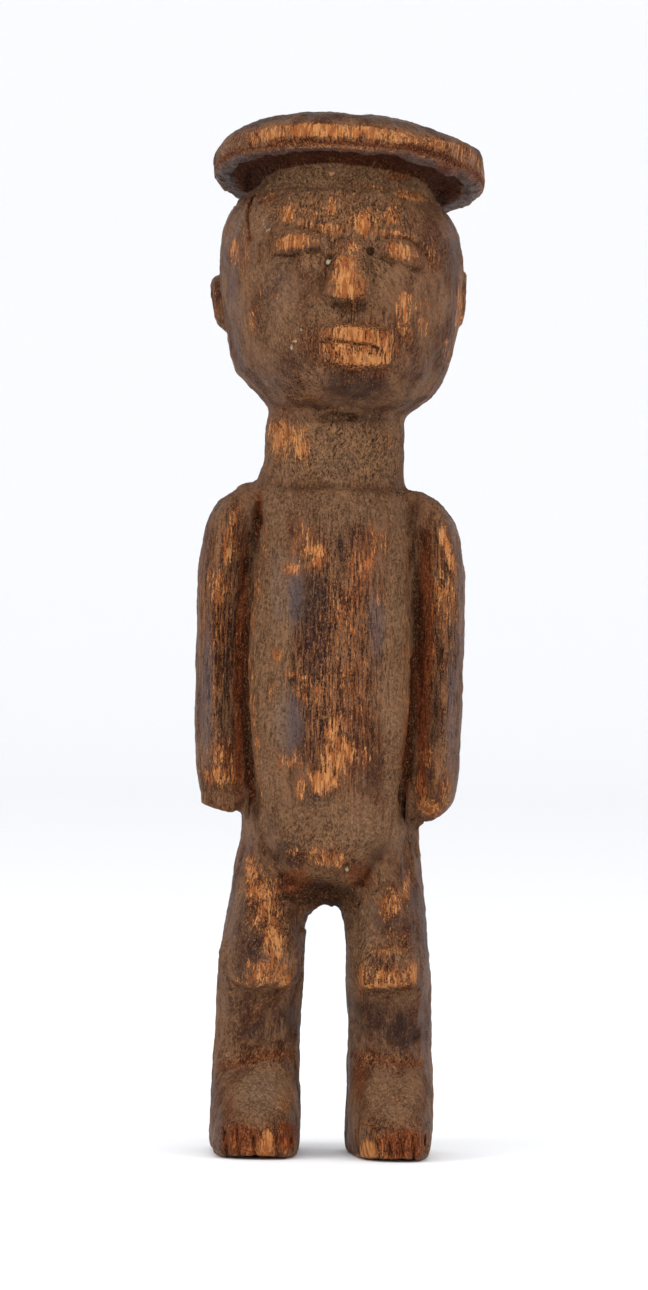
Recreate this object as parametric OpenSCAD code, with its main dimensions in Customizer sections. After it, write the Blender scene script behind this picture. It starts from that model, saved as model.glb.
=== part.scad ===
// Standing figure carved from one block of wood: a flat tilted cap on a large
// round head, a thick neck, a barrel trunk with the arms cut in relief along its
// sides, two stout legs and block feet with notched toes.
// Frame: +Z up, the face looks along -Y. "Left" and "right" are the figure's own,
// so its left arm is on +X. The soles lie on z = 0. All lengths in millimetres.
// The block is divided at its carved grooves, and neighbours meet face to face.

/* [Cap] */
// Radius of the round cap
cap_r = 27.2; // [25:0.1:30]
// Height of the rim's wall above the flat underside
cap_rim = 5.4; // [4:0.1:7]
// Rise of the domed top above the rim
cap_dome = 5.6; // [3:0.1:7]
// Rise of the underside towards the front, in mm per mm
cap_tilt = 0.2; // [0:0.01:0.3]
// Drop of the underside towards the figure's left, in mm per mm
cap_roll = 0.045; // [0:0.005:0.1]
// Height of the underside at the cap's centre
cap_z = 193.2; // [190:0.1:196]
// Offset of the cap's centre towards the figure's left
cap_x = 1.6; // [0:0.1:3]
// Offset of the cap's centre towards the back
cap_y = 0.6; // [0:0.1:2]

/* [Face] */
// Offset of the face's centre line towards the figure's left
face_x = 2.3; // [0:0.1:4]
// Height of the tip of the nose above the face
nose_h = 4.6; // [3:0.1:6]
// Half width of the nose at its wings
nose_w = 4.5; // [4:0.1:6]
// Height of the lips above the face
lip_h = 2.2; // [1:0.1:3]
// Half width of the mouth
lip_w = 7.7; // [6:0.1:9]
// Height of the closed eyes above the face
eye_h = 1.5; // [0.8:0.1:2.2]
// Half width of an eye
eye_w = 4.4; // [3.5:0.1:5.5]
// Thickness of an ear
ear_h = 1.9; // [1:0.1:3]

/* [Body] */
// Height of the groove between the head and the neck
jaw_z = 148; // [145:0.5:151]
// Height of the flat top of the trunk, where the neck stands
collar_z = 133; // [130:0.5:136]
// Height of the belly's lowest point, where the thighs begin
hip_z = 55.5; // [53:0.5:58]
// Height of the groove between shin and foot
ankle_z = 19.2; // [17:0.2:22]
// Outermost reach of an arm from the body's axis
arm_reach = 27; // [26:0.1:28]
// Height of the right hand's tip
right_tip_z = 68.9; // [66:0.1:71]
// Height of the left hand's tip
left_tip_z = 66.7; // [65:0.1:71]

/* [Feet] */
// Depth of the notches between the toes
toe_notch = 1.1; // [0.5:0.1:1.6]
// Turn of the left foot outwards, in degrees
left_toe_out = 7; // [0:1:10]

/* [Hidden] */

// The body's axis stands this far from the middle of the whole figure's box.
axis_x = (arm_reach - cap_x - cap_r) / 2;
ring_step = 2.5;

// Sections of each part, from its lowest ring to its highest: share of the part's
// height, right edge, left edge, front, back, squareness (2 is an ellipse, larger
// is boxier). The widths between two sections follow a smooth curve.
head_rows = [
    [0.00, -13.8, 14.2, -10.8, 13.4, 2.3],
    [0.03, -15.2, 16.0, -15.8, 15.4, 2.3],
    [0.08, -17.0, 18.6, -19.2, 17.6, 2.3],
    [0.16, -19.6, 21.4, -21.6, 20.2, 2.35],
    [0.25, -21.4, 22.8, -22.6, 22.2, 2.4],
    [0.35, -22.8, 23.9, -23.2, 23.8, 2.45],
    [0.48, -23.6, 24.8, -23.4, 24.8, 2.45],
    [0.63, -23.7, 24.9, -23.2, 25.0, 2.4],
    [0.74, -23.3, 24.2, -22.4, 24.2, 2.35],
    [0.84, -21.9, 22.8, -21.0, 22.6, 2.3],
    [0.92, -19.0, 20.2, -18.2, 20.4, 2.2],
    [1.00, -13.6, 15.4, -11.8, 16.6, 2.1]
];
neck_rows = [
    [0.00, -15.0, 14.2, -10.4, 12.6, 2.3],
    [0.20, -14.1, 13.7, -10.3, 12.4, 2.3],
    [0.50, -13.8, 13.6, -10.4, 12.6, 2.3],
    [1.00, -13.8, 13.9, -10.8, 13.4, 2.3]
];
torso_rows = [
    [0.00, -18.7, 18.6, -12.2, 17.8, 2.5],
    [0.05, -18.0, 18.1, -13.9, 17.6, 2.5],
    [0.10, -17.5, 17.5, -15.0, 16.4, 2.4],
    [0.17, -16.6, 16.9, -15.8, 14.4, 2.3],
    [0.25, -16.4, 15.9, -16.2, 12.2, 2.2],
    [0.35, -17.3, 16.7, -16.4, 11.2, 2.2],
    [0.48, -18.0, 17.5, -16.0, 11.4, 2.2],
    [0.62, -18.2, 17.5, -15.4, 12.2, 2.2],
    [0.76, -17.8, 17.3, -14.6, 13.0, 2.2],
    [0.87, -17.0, 16.9, -13.8, 13.2, 2.2],
    [0.94, -16.4, 16.4, -12.8, 12.8, 2.3],
    [1.00, -16.0, 15.4, -11.4, 12.0, 2.4]
];
// Distance from the body's axis to the groove between an arm and the trunk, by
// share of the trunk's height.
groove_rows = [
    [0.12, 15.2], [0.21, 14.8], [0.30, 15.2], [0.40, 16.1], [0.50, 16.8], [0.62, 17.0],
    [0.74, 16.6], [0.83, 16.0], [0.90, 15.2], [0.97, 14.2], [1.00, 13.7]
];
// Sections of an arm: share of its length from the tip, reach as a share of
// arm_reach, front, back, squareness.
arm_rows = [
    [0.00, 0.815, -4.6, 4.4, 2.6],
    [0.04, 0.915, -6.6, 6.4, 2.6],
    [0.10, 0.945, -7.6, 7.6, 2.6],
    [0.20, 0.972, -8.1, 8.2, 2.6],
    [0.38, 0.985, -8.3, 8.4, 2.5],
    [0.58, 1.000, -8.6, 8.6, 2.5],
    [0.74, 0.992, -8.9, 8.8, 2.5],
    [0.85, 0.955, -8.8, 8.9, 2.4],
    [0.92, 0.895, -8.2, 8.4, 2.3],
    [0.97, 0.800, -7.0, 7.4, 2.2],
    [1.00, 0.660, -5.4, 5.8, 2.2]
];
// How much further than its own half width an arm's section runs inwards.
arm_overlap = 1.35;
// Sections of a leg, with its inner and outer edges measured from the gap's middle.
// A negative inner edge is cut off at that middle, where the two thighs meet.
leg_rows = [
    [0.00, 4.7, 21.7, -8.4, 10.6, 2.8],
    [0.11, 4.7, 21.4, -8.8, 10.9, 2.8],
    [0.23, 4.5, 21.2, -9.2, 11.4, 2.8],
    [0.35, 4.3, 21.1, -9.8, 11.8, 2.8],
    [0.40, 4.2, 21.0, -12.2, 12.0, 2.8],
    [0.50, 4.2, 20.8, -12.9, 12.2, 2.7],
    [0.63, 4.1, 20.3, -12.5, 12.8, 2.6],
    [0.72, 3.7, 19.9, -12.1, 14.0, 2.6],
    [0.79, 2.6, 19.6, -11.9, 15.4, 2.6],
    [0.83, -1.0, 19.5, -11.8, 16.0, 2.6],
    [0.90, -9.0, 19.2, -11.8, 17.2, 2.6],
    [1.00, -18.4, 18.65, -12.2, 17.8, 2.5]
];
leg_mid = -0.05;
// The fold between belly and thigh rises towards the hips, in mm per mm.
groin_rise = 0.42;
groin_reach = 22;
// Sections of a foot, as for a leg.
foot_rows = [
    [0.00, 4.5, 21.6, -18.6, 12.6, 3.6],
    [0.15, 4.3, 22.1, -19.6, 13.0, 3.6],
    [0.34, 4.3, 22.1, -18.8, 13.0, 3.4],
    [0.54, 4.4, 22.0, -15.6, 12.4, 3.2],
    [0.76, 4.6, 21.9, -11.6, 11.6, 3.0],
    [1.00, 4.7, 21.7, -8.4, 10.6, 2.8]
];
toes = 5;
toe_top_z = 6.4;
toe_margin = 0.6;
// The front of each foot narrows to this share less, and turns about this y.
foot_taper = [0.05, 0.22]; // right, left
foot_turn_y = 4;
foot_ahead = 22;

// Places on the face: height of each feature's centre and its half height.
nose_z = 174.7;
nose_half = 5.5;
mouth_z = 160;
mouth_half = 4.6;
mouth_slant = -3;
eye_x = 10.9;
eye_z = [180.4, 178.7]; // right, left
eye_half = 2.4;
eye_slant = [-3, -17]; // right, left
ear_z = 169.6;
ear_y = 1.5;
ear_half = 5.3;
ear_depth = 3.2;
// A feature's edge stands this far off the face.
edge_lift = 0.45;
relief_steps = [0.25, 0.5, 0.75, 0.92, 1];
relief_points = 24;

wood = "saddlebrown";
worn = "peru";
dark = "#4d3423";

// ---- Functions ----

function lerp(a, b, t) = a + (b - a) * t;
function power(v, e) = sign(v) * pow(abs(v), e);
function clamp(v, low, high) = max(low, min(high, v));
function last(list) = list[len(list) - 1];
function share(z, low, high) = (z - low) / (high - low);

// The index of the last row at or under s.
function row_under(rows, s, i = 0) =
    i >= len(rows) - 2 || s < rows[i + 1][0] ? i : row_under(rows, s, i + 1);

// A row at s, on a cubic curve through the table's rows.
function row_at(rows, s) =
    let (
        i = row_under(rows, s),
        a = rows[max(i - 1, 0)],
        b = rows[i],
        c = rows[i + 1],
        d = rows[min(i + 2, len(rows) - 1)],
        gap = c[0] - b[0],
        u = (s - b[0]) / gap,
        slope_b = (c - a) * (gap / (c[0] - a[0])),
        slope_c = (d - b) * (gap / (d[0] - b[0]))
    )
    b * (2 * u * u * u - 3 * u * u + 1) + slope_b * (u * u * u - 2 * u * u + u)
        + c * (3 * u * u - 2 * u * u * u) + slope_c * (u * u * u - u * u);

// Heights of a loft's rings, on one shared ladder so that neighbours' rings agree.
function levels(low, high, step = ring_step) = [
    low,
    for (i = [ceil((low + step / 3) / step) : floor((high - step / 3) / step)]) i * step,
    high
];

// One closed ring from a row, at height z.
function ring(row, z, points) =
    let (
        mid_x = (row[1] + row[2]) / 2,
        mid_y = (row[3] + row[4]) / 2,
        half_x = (row[2] - row[1]) / 2,
        half_y = (row[4] - row[3]) / 2,
        e = 2 / row[5]
    )
    [
        for (i = [0 : points - 1])
            let (a = 360 * i / points)
            [mid_x + half_x * power(cos(a), e), mid_y + half_y * power(sin(a), e), z]
    ];

// A ring moved to the figure's right side runs the other way round.
function facing(side, points) =
    side > 0 ? points : [for (i = [len(points) - 1 : -1 : 0]) points[i]];

function groove(z) = row_at(groove_rows, share(z, hip_z, collar_z))[1];
function groin(x) = groin_rise * abs(x - leg_mid);
function cap_bottom(x, y) = cap_z - cap_tilt * (y - cap_y) - cap_roll * (x - cap_x);

head_top = cap_z + 1.5;
function head_row(z) = row_at(head_rows, share(z, jaw_z, head_top));

// Distance from a section's middle to its edge, where t is the place across it.
function bulge(half, t, square) = half * pow(max(0, 1 - pow(t, square)), 1 / square);

// The head's front surface: its y at a place on the face.
function face_y(x, z) =
    let (
        row = head_row(z),
        t = abs(x - (row[1] + row[2]) / 2) / ((row[2] - row[1]) / 2)
    )
    (row[3] + row[4]) / 2 - bulge((row[4] - row[3]) / 2, t, row[5]);

// The head's side surface: its x at a place on the side (-1 right, 1 left).
function side_x(side, y, z) =
    let (
        row = head_row(z),
        t = abs(y - (row[3] + row[4]) / 2) / ((row[4] - row[3]) / 2)
    )
    (row[1] + row[2]) / 2 + side * bulge((row[2] - row[1]) / 2, t, row[5]);

// ---- Building blocks ----

// A closed skin over rings that all have the same number of points. Each end is a
// fan about the middle of its ring, or about the point given for it.
module skin(rings, first_mid, last_mid) {
    n = len(rings[0]);
    top = (len(rings) - 1) * n;
    ones = [for (i = [1 : n]) 1];
    bottom_point = is_undef(first_mid) ? ones * rings[0] / n : first_mid;
    top_point = is_undef(last_mid) ? ones * last(rings) / n : last_mid;
    polyhedron(
        points = [for (r = rings) each r, bottom_point, top_point],
        faces = [
            for (i = [0 : n - 1]) [i, (i + 1) % n, top + n],
            for (i = [0 : n - 1]) [top + (i + 1) % n, top + i, top + n + 1],
            for (j = [0 : len(rings) - 2], i = [0 : n - 1])
                let (
                    a = j * n + i,
                    b = j * n + (i + 1) % n,
                    c = a + n,
                    d = b + n
                )
                each [[a, c, b], [b, c, d]]
        ]
    );
}

// A shape in low relief between two surfaces that share its outline's angles.
// under and over are lists of rings from the middle out.
module relief(under, over) {
    skin([each under, for (i = [len(over) - 1 : -1 : 0]) over[i]]);
}

// ---- Sub-parts ----

// Round cap: flat underside, upright rim, domed top, tipped up at the front.
module cap() {
    points = 60;
    // Share of the radius, share of the rim's wall, share of the dome's rise.
    profile = [
        [0.955, 0, 0], [0.99, 0.14, 0], [1, 0.48, 0], [0.985, 0.84, 0], [0.945, 1, 0.12],
        [0.87, 1, 0.4], [0.72, 1, 0.68], [0.5, 1, 0.88], [0.25, 1, 0.98]
    ];
    color(dark)
        skin([
            for (p = profile)
                [
                    for (i = [0 : points - 1])
                        let (
                            x = cap_x + cap_r * p[0] * cos(360 * i / points),
                            y = cap_y + cap_r * p[0] * sin(360 * i / points)
                        )
                        [x, y, cap_bottom(x, y) + p[1] * cap_rim + p[2] * cap_dome]
                ]
        ]);
}

// Head without its features. Its upper rings lean over to meet the cap's underside.
module head() {
    lean_from = cap_z - 7;
    heights = [for (z = levels(jaw_z + 1.4, head_top)) z];
    color(wood)
        skin([
            for (z = concat([jaw_z], heights))
                let (lean = pow(clamp(share(z, lean_from, head_top), 0, 1), 1.5))
                [
                    for (p = ring(head_row(z), z, 72))
                        [p[0], p[1], z + lean * (cap_bottom(p[0], p[1]) - head_top)]
                ]
        ]);
}

// Rings of a face feature from the middle out. at(r, a) gives x, z and the lift.
function face_rings(spots, lifted) = [
    for (row = spots)
        [for (s = row) [s[0], face_y(s[0], s[1]) - (lifted ? s[2] : 0), s[1]]]
];

module face_relief(spots) {
    relief(face_rings(spots, false), face_rings(spots, true));
}

// Wedge nose: narrow at the bridge, wide and proud at the wings.
module nose() {
    tip_share = 0.58;
    bridge_lift = 0.9;
    color(worn)
        face_relief([
            for (r = relief_steps)
                [
                    for (i = [0 : relief_points - 1])
                        let (
                            u = r * power(cos(360 * i / relief_points), 0.55),
                            v = r * power(sin(360 * i / relief_points), 0.55),
                            up = (v + 1) / 2,
                            lift = lerp(nose_h, bridge_lift, up) * (1 - 0.3 * u * u)
                        )
                        [
                            face_x + u * nose_w * lerp(1, tip_share, up),
                            nose_z + v * nose_half,
                            max(edge_lift, lift * (r == 1 ? 0.55 : 1))
                        ]
                ]
        ]);
}

// A low pillow on the face with an oval or squarish outline.
module face_pad(x0, z0, half_x, half_z, lift, slant, square) {
    face_relief([
        for (r = relief_steps)
            [
                for (i = [0 : relief_points - 1])
                    let (
                        u = r * half_x * power(cos(360 * i / relief_points), 2 / square),
                        v = r * half_z * power(sin(360 * i / relief_points), 2 / square)
                    )
                    [
                        x0 + u * cos(slant) - v * sin(slant),
                        z0 + u * sin(slant) + v * cos(slant),
                        lerp(lift, edge_lift, pow(r, 2.5))
                    ]
            ]
    ]);
}

// Block of the two closed lips.
module mouth() {
    color(worn) face_pad(face_x + 1, mouth_z, lip_w, mouth_half, lip_h, mouth_slant, 3.4);
}

// Closed almond eye. side is -1 for the right eye and 1 for the left one.
module eye(side) {
    i = side < 0 ? 0 : 1;
    color(worn)
        face_pad(face_x + side * eye_x, eye_z[i], eye_w, eye_half, eye_h, eye_slant[i], 1.7);
}

// Flat upright ear on the side of the head, thicker towards its top.
module ear(side) {
    spots = [
        for (r = relief_steps)
            [
                for (i = [0 : relief_points - 1])
                    let (a = side * 360 * i / relief_points)
                    [
                        ear_y + r * ear_depth * power(cos(a), 0.8),
                        ear_z + r * ear_half * power(sin(a), 0.8),
                        ear_h * lerp(1, 0.55, pow(r, 3)) * lerp(0.75, 1, (r * sin(a) + 1) / 2)
                    ]
            ]
    ];
    function rings(lifted) = [
        for (row = spots)
            [
                for (s = row)
                    [side_x(side, s[0], s[1]) + side * (lifted ? s[2] : 0), s[0], s[1]]
            ]
    ];
    color(wood) relief(rings(false), rings(true));
}

// Thick neck, a little wider where it stands on the trunk.
module neck() {
    color(wood)
        skin([
            for (z = levels(collar_z, jaw_z, 5))
                ring(row_at(neck_rows, share(z, collar_z, jaw_z)), z, 40)
        ]);
}

// Barrel trunk from the belly's fold to the flat collar, flattened at the sides
// where the arms join it.
module torso() {
    points = 56;
    groove_from = right_tip_z - 1;
    color(wood)
        skin(
            [
                for (z = levels(hip_z, collar_z))
                    let (
                        limit = z > groove_from ? groove(z) : arm_reach,
                        fold = pow(1 - clamp(share(z, hip_z, hip_z + groin_reach), 0, 1), 2)
                    )
                    [
                        for (p = ring(row_at(torso_rows, share(z, hip_z, collar_z)), z, points))
                            let (x = clamp(p[0], -limit, limit))
                            [x, p[1], z + fold * groin(x)]
                    ]
            ],
            first_mid = [leg_mid, 0, hip_z]
        );
}

// Arm and hand in one, flat against the trunk. side is -1 for right and 1 for left.
module arm(side) {
    points = 36;
    tip = side < 0 ? right_tip_z : left_tip_z;
    shoulder = side < 0 ? collar_z : collar_z - 0.5;
    reach = side < 0 ? arm_reach : arm_reach - 0.6;
    color(wood)
        skin([
            for (z = levels(tip, shoulder))
                let (
                    row = row_at(arm_rows, share(z, tip, shoulder)),
                    inner = groove(z),
                    mid = (inner + reach * row[1]) / 2,
                    half = (reach * row[1] - inner) / 2,
                    mid_y = (row[2] + row[3]) / 2,
                    half_y = (row[3] - row[2]) / 2
                )
                [
                    for (i = [0 : points - 1])
                        let (
                            a = side * 360 * i / points,
                            u = power(cos(a), 2 / row[4]),
                            v = power(sin(a), 2 / row[4]),
                            x = mid + u * half * (u < 0 ? arm_overlap : 1)
                        )
                        [side * max(inner, x), mid_y + half_y * v, z]
                ]
        ]);
}

// Leg from the belly's fold to the ankle, with the knee standing proud of the shin.
module leg(side) {
    points = 40;
    color(wood)
        skin([
            for (z = levels(ankle_z, hip_z))
                let (
                    s = share(z, ankle_z, hip_z),
                    fold = pow(clamp(share(s, 0.45, 1), 0, 1), 2)
                )
                facing(side, [
                    for (p = ring(row_at(leg_rows, s), z, points))
                        let (x = leg_mid + side * max(0, p[0]))
                        [x, p[1], z + fold * groin(x)]
                ])
        ]);
}

// Block foot with a sloping instep and notches between the toes.
module foot(side) {
    turn = side < 0 ? 0 : left_toe_out;
    taper = foot_taper[side < 0 ? 0 : 1];
    sole = foot_rows[0];
    mid = (sole[1] + sole[2]) / 2;
    // A point of the foot's outline, narrowed and turned with its place ahead of the heel.
    function turned(x, y, z) =
        let (
            low = clamp(1 - z / ankle_z, 0, 1),
            ahead = clamp((foot_turn_y - y) / foot_ahead, 0, 1),
            narrowed = mid + (x - mid) * (1 - taper * ahead * low)
        )
        [leg_mid + side * (narrowed + ahead * low * tan(turn) * foot_ahead / 2), y, z];
    color(wood)
        difference() {
            skin([
                for (z = levels(0, ankle_z, 3))
                    facing(side, [
                        for (p = ring(row_at(foot_rows, z / ankle_z), z, 40))
                            turned(p[0], p[1], z)
                    ])
            ]);
            for (i = [1 : toes - 1])
                let (
                    x = lerp(sole[1] + toe_margin, sole[2] - toe_margin, i / toes),
                    front = foot_rows[1][3],
                    spot = turned(x, front, 2)
                )
                translate([spot[0], front + 0.4 * abs(i - toes / 2), -1])
                    rotate([-9, 0, 0])
                        linear_extrude(toe_top_z + 1)
                            polygon([[0, toe_notch], [-0.7, -3], [0.7, -3]]);
        }
}

module in_place() {
    translate([axis_x, 0, 0]) children();
}

in_place() cap();
in_place() head();
in_place() nose();
in_place() mouth();
in_place() eye(-1);  // eye_right
in_place() eye(1);  // eye_left
in_place() ear(-1);  // ear_right
in_place() ear(1);  // ear_left
in_place() neck();
in_place() torso();
in_place() arm(-1);  // arm_right
in_place() arm(1);  // arm_left
in_place() leg(-1);  // leg_right
in_place() leg(1);  // leg_left
in_place() foot(-1);  // foot_right
in_place() foot(1);  // foot_left
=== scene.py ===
"""A standing figure carved from one block of wood, dark with handling and dust, worn
back to bare orange wood on its high places.

The CAD nodes give the block's shape. They are joined here into one distance field, the
carving is cut into that field, and the finished skin is divided again at the CAD nodes'
own borders, so that each piece stands for its node and the seams don't show.
All lengths in this script are millimetres, up to the last step that builds a mesh.
"""

import itertools
import math
from types import SimpleNamespace

import bpy
import numpy as np
import openvdb
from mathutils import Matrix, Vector


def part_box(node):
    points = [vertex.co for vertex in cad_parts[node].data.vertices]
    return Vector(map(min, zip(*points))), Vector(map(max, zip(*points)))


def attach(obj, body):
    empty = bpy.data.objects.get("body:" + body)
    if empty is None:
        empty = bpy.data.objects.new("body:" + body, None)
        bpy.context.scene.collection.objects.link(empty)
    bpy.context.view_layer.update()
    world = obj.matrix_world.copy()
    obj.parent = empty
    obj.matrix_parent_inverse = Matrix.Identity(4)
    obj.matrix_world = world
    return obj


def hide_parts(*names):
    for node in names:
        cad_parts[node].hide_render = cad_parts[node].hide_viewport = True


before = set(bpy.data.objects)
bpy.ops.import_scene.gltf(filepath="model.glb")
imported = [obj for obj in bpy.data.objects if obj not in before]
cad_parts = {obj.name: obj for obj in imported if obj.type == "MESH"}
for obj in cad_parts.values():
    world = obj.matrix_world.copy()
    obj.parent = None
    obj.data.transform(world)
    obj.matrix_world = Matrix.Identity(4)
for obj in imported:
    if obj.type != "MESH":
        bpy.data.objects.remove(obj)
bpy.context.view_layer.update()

METRE = 0.001
SEED = 7
VOXEL = 0.4
BAND = 14  # half width of the distance field's band, in voxels
FAR = BAND * VOXEL
REACH = 31.0  # how far the field goes from the middle in x and y

# ---- The frame's own places ----


def box(node):
    """The lowest and highest corner of a node, in mm."""
    low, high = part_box(node)
    return np.array(low) / METRE, np.array(high) / METRE


CAP_LOW, CAP_HIGH = box("cap")
CAP_MID = (CAP_LOW + CAP_HIGH) / 2
CAP_R = (CAP_HIGH[0] - CAP_LOW[0]) / 2
ARM_LEAD = 0.6  # how much further the right arm reaches from the body's axis than the left
AXIS_X = (box("arm_right")[0][0] + box("arm_left")[1][0] + ARM_LEAD) / 2
COLLAR_Z, JAW_Z = (corner[2] for corner in box("neck"))
HIP_Z = box("torso")[0][2]
ANKLE_Z = box("foot_right")[1][2]

# The underside of the cap and the fold of the groin slope as they do in the CAD model.
CAP_TILT = 0.2
CAP_ROLL = 0.045
CAP_Z = 193.2
GROIN_RISE = 0.42


def cap_bottom(x, y):
    """Height of the cap's underside."""
    return CAP_Z - CAP_TILT * (y - CAP_MID[1]) - CAP_ROLL * (x - CAP_MID[0])


# ---- Small maths ----


def smooth(t):
    """0 up to 0 and 1 from 1, with soft ends."""
    t = np.clip(t, 0, 1)
    return t * t * (3 - 2 * t)


def ramp(value, low, high):
    """0 below low and 1 above high, or the other way round."""
    return smooth((value - low) / (high - low))


def hashed(ix, iy, iz, seed):
    """A random number from 0 to 1 for each cell of a grid."""
    h = ix * 374761393 + iy * 668265263 + iz * 2147483647 + seed * 1274126177
    h = (h ^ (h >> 13)) * 1274126177 & 0xFFFFFFFF
    return ((h ^ (h >> 16)) & 0xFFFF) / 65535.0


def cell_corners(part):
    """The corners of a cell as steps, with their weights for places within the cell."""
    for step in itertools.product((0, 1), repeat=3):
        weight = 1
        for axis in range(3):
            weight = weight * np.abs(1 - step[axis] - part[:, axis])
        yield np.array(step), weight


def noise(points, size, seed=0):
    """Smooth noise from -1 to 1. size is the cell's size in mm along x, y and z."""
    scaled = points / np.array(size) + 1000.0
    cell = np.floor(scaled).astype(np.int64)
    total = 0
    for step, weight in cell_corners(smooth(scaled - cell)):
        total = total + weight * hashed(*(cell + step).T, seed)
    return 2 * total - 1


def layered(points, size, octaves, seed=0, keep=0.55):
    """Noise with finer octaves on top, each half the size and keep times as strong."""
    total = 0
    strength = 1.0
    size = np.array(size, float)
    for octave in range(octaves):
        total = total + strength * noise(points, size, seed + 17 * octave)
        size = size / 2
        strength *= keep
    return total


# ---- The distance field ----


class Field:
    """Signed distances on a regular grid: negative inside the wood."""

    def __init__(self, low, high):
        self.low = np.floor(np.array(low) / VOXEL) * VOXEL
        self.shape = tuple(np.ceil((np.array(high) - self.low) / VOXEL).astype(int) + 1)
        self.values = np.full(self.shape, FAR, np.float32)

    def lines(self, axis):
        """Where the grid's lines are along one axis."""
        return self.low[axis] + VOXEL * np.arange(self.shape[axis])

    def window(self, low, high):
        """The part of the grid between two corners: its slices and its x, y and z."""
        parts = []
        for axis in range(3):
            first = int(np.floor((low[axis] - self.low[axis]) / VOXEL))
            last = int(np.ceil((high[axis] - self.low[axis]) / VOXEL)) + 1
            parts.append(slice(max(first, 0), min(last, self.shape[axis])))
        x = self.lines(0)[parts[0]][:, None, None]
        y = self.lines(1)[parts[1]][None, :, None]
        z = self.lines(2)[parts[2]][None, None, :]
        return tuple(parts), x, y, z

    def add_mesh(self, points, triangles):
        """Fills the field with the distances to a closed mesh."""
        cells = ((points - self.low) / VOXEL).astype(np.float32)
        grid = openvdb.FloatGrid.createLevelSetFromPolygons(
            cells, triangles=triangles.astype(np.uint32), halfWidth=float(BAND)
        )
        found = np.empty(self.shape, np.float32)
        grid.copyToArray(found, ijk=(0, 0, 0))
        np.minimum(self.values, found * VOXEL, out=self.values)

    def surface(self, level=0.0):
        """Points and quads of the skin at one level of the field."""
        grid = openvdb.FloatGrid(FAR)
        grid.copyFromArray(self.values, ijk=(0, 0, 0), tolerance=0.0)
        points, _, quads = grid.convertToPolygons(isovalue=float(level), adaptivity=0.0)
        return points.astype(np.float64) * VOXEL + self.low, quads.astype(np.int64)

    def sample(self, points, values=None):
        """The field at points, between its grid lines."""
        values = self.values if values is None else values
        place = (points - self.low) / VOXEL
        cell = np.clip(np.floor(place).astype(int), 0, np.array(self.shape) - 2)
        return sum(
            weight * values[tuple((cell + step).T)]
            for step, weight in cell_corners(place - cell)
        )

    def blurred(self, passes, values=None):
        """The field, softened by a small kernel a number of times along each axis."""
        out = (self.values if values is None else values).copy()
        for _ in range(passes):
            for axis in range(3):
                rows = np.moveaxis(out, axis, 0)
                rows[1:-1] = 0.5 * rows[1:-1] + 0.25 * rows[:-2] + 0.25 * rows[2:]
        return out


def triangles_of(quads):
    """Each quad as two triangles."""
    return np.concatenate([quads[:, [0, 1, 2]], quads[:, [0, 2, 3]]])


def node_mesh(node):
    """A CAD node's points, in mm, and triangles."""
    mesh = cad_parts[node].data
    mesh.calc_loop_triangles()
    points = np.empty(len(mesh.vertices) * 3, np.float32)
    mesh.vertices.foreach_get("co", points)
    triangles = np.empty(len(mesh.loop_triangles) * 3, np.int32)
    mesh.loop_triangles.foreach_get("vertices", triangles)
    return points.reshape(-1, 3) / METRE, triangles.reshape(-1, 3)


BLOCK_NODES = [
    "cap", "head", "ear_right", "neck", "torso", "arm_right", "arm_left",
    "leg_right", "leg_left", "foot_right", "foot_left",
]
CLOSING = 0.5  # the nodes are grown by this much to close the cracks between them


def joined_block():
    """The CAD nodes as one field, with the cracks between them closed."""
    low, high = (-REACH, -REACH, -3.0), (REACH, REACH, CAP_HIGH[2] + 3)
    grown = Field(low, high)
    for node in BLOCK_NODES:
        grown.add_mesh(*node_mesh(node))
    points, quads = grown.surface(CLOSING)
    block = Field(low, high)
    block.add_mesh(points, triangles_of(quads))
    block.values += CLOSING
    return block


# ---- Carving tools ----
# A relief is a height over the front, in x and z, or over a side, in y and z.
# A positive height stands out of the wood and a negative one is cut into it.


def turned(x, z, place, turn):
    """How far x and z are from a place, along axes turned by some degrees."""
    c, s = math.cos(math.radians(turn)), math.sin(math.radians(turn))
    return (x - place[0]) * c + (z - place[1]) * s, (z - place[1]) * c - (x - place[0]) * s


def oval(x, z, place, size, turn=0.0):
    """Distance from an oval's middle, 1 at its rim."""
    u, v = turned(x, z, place, turn)
    u, v = u / size[0], v / size[1]
    return np.sqrt(u * u + v * v)


def almond(x, z, place, size, turn=0.0, point=1.5):
    """Like an oval, with pointed ends."""
    u, v = turned(x, z, place, turn)
    return (np.abs(u) / size[0]) ** point + (np.abs(v) / size[1]) ** point


def slab(x, z, place, size, turn=0.0, corner=1.0):
    """Distance outside a rectangle with round corners, negative inside it."""
    u, v = turned(x, z, place, turn)
    u, v = np.abs(u) - size[0] + corner, np.abs(v) - size[1] + corner
    outside = np.hypot(np.maximum(u, 0), np.maximum(v, 0))
    return outside + np.minimum(np.maximum(u, v), 0) - corner


def dome(r):
    """1 in the middle, falling softly to 0 at r = 1."""
    return np.clip(1 - r * r, 0, 1) ** 2


def line(x, z, points):
    """Distance to a line through points."""
    best = np.full(np.broadcast(x, z).shape, 1e9)
    for (ax, az), (bx, bz) in zip(points, points[1:]):
        dx, dz = bx - ax, bz - az
        t = np.clip(((x - ax) * dx + (z - az) * dz) / (dx * dx + dz * dz), 0, 1)
        best = np.minimum(best, np.hypot(x - ax - t * dx, z - az - t * dz))
    return best


def cut(distance, width, depth):
    """A V-shaped cut of that width and depth along a line."""
    return -depth * np.clip(1 - distance / (width / 2), 0, 1)


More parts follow.
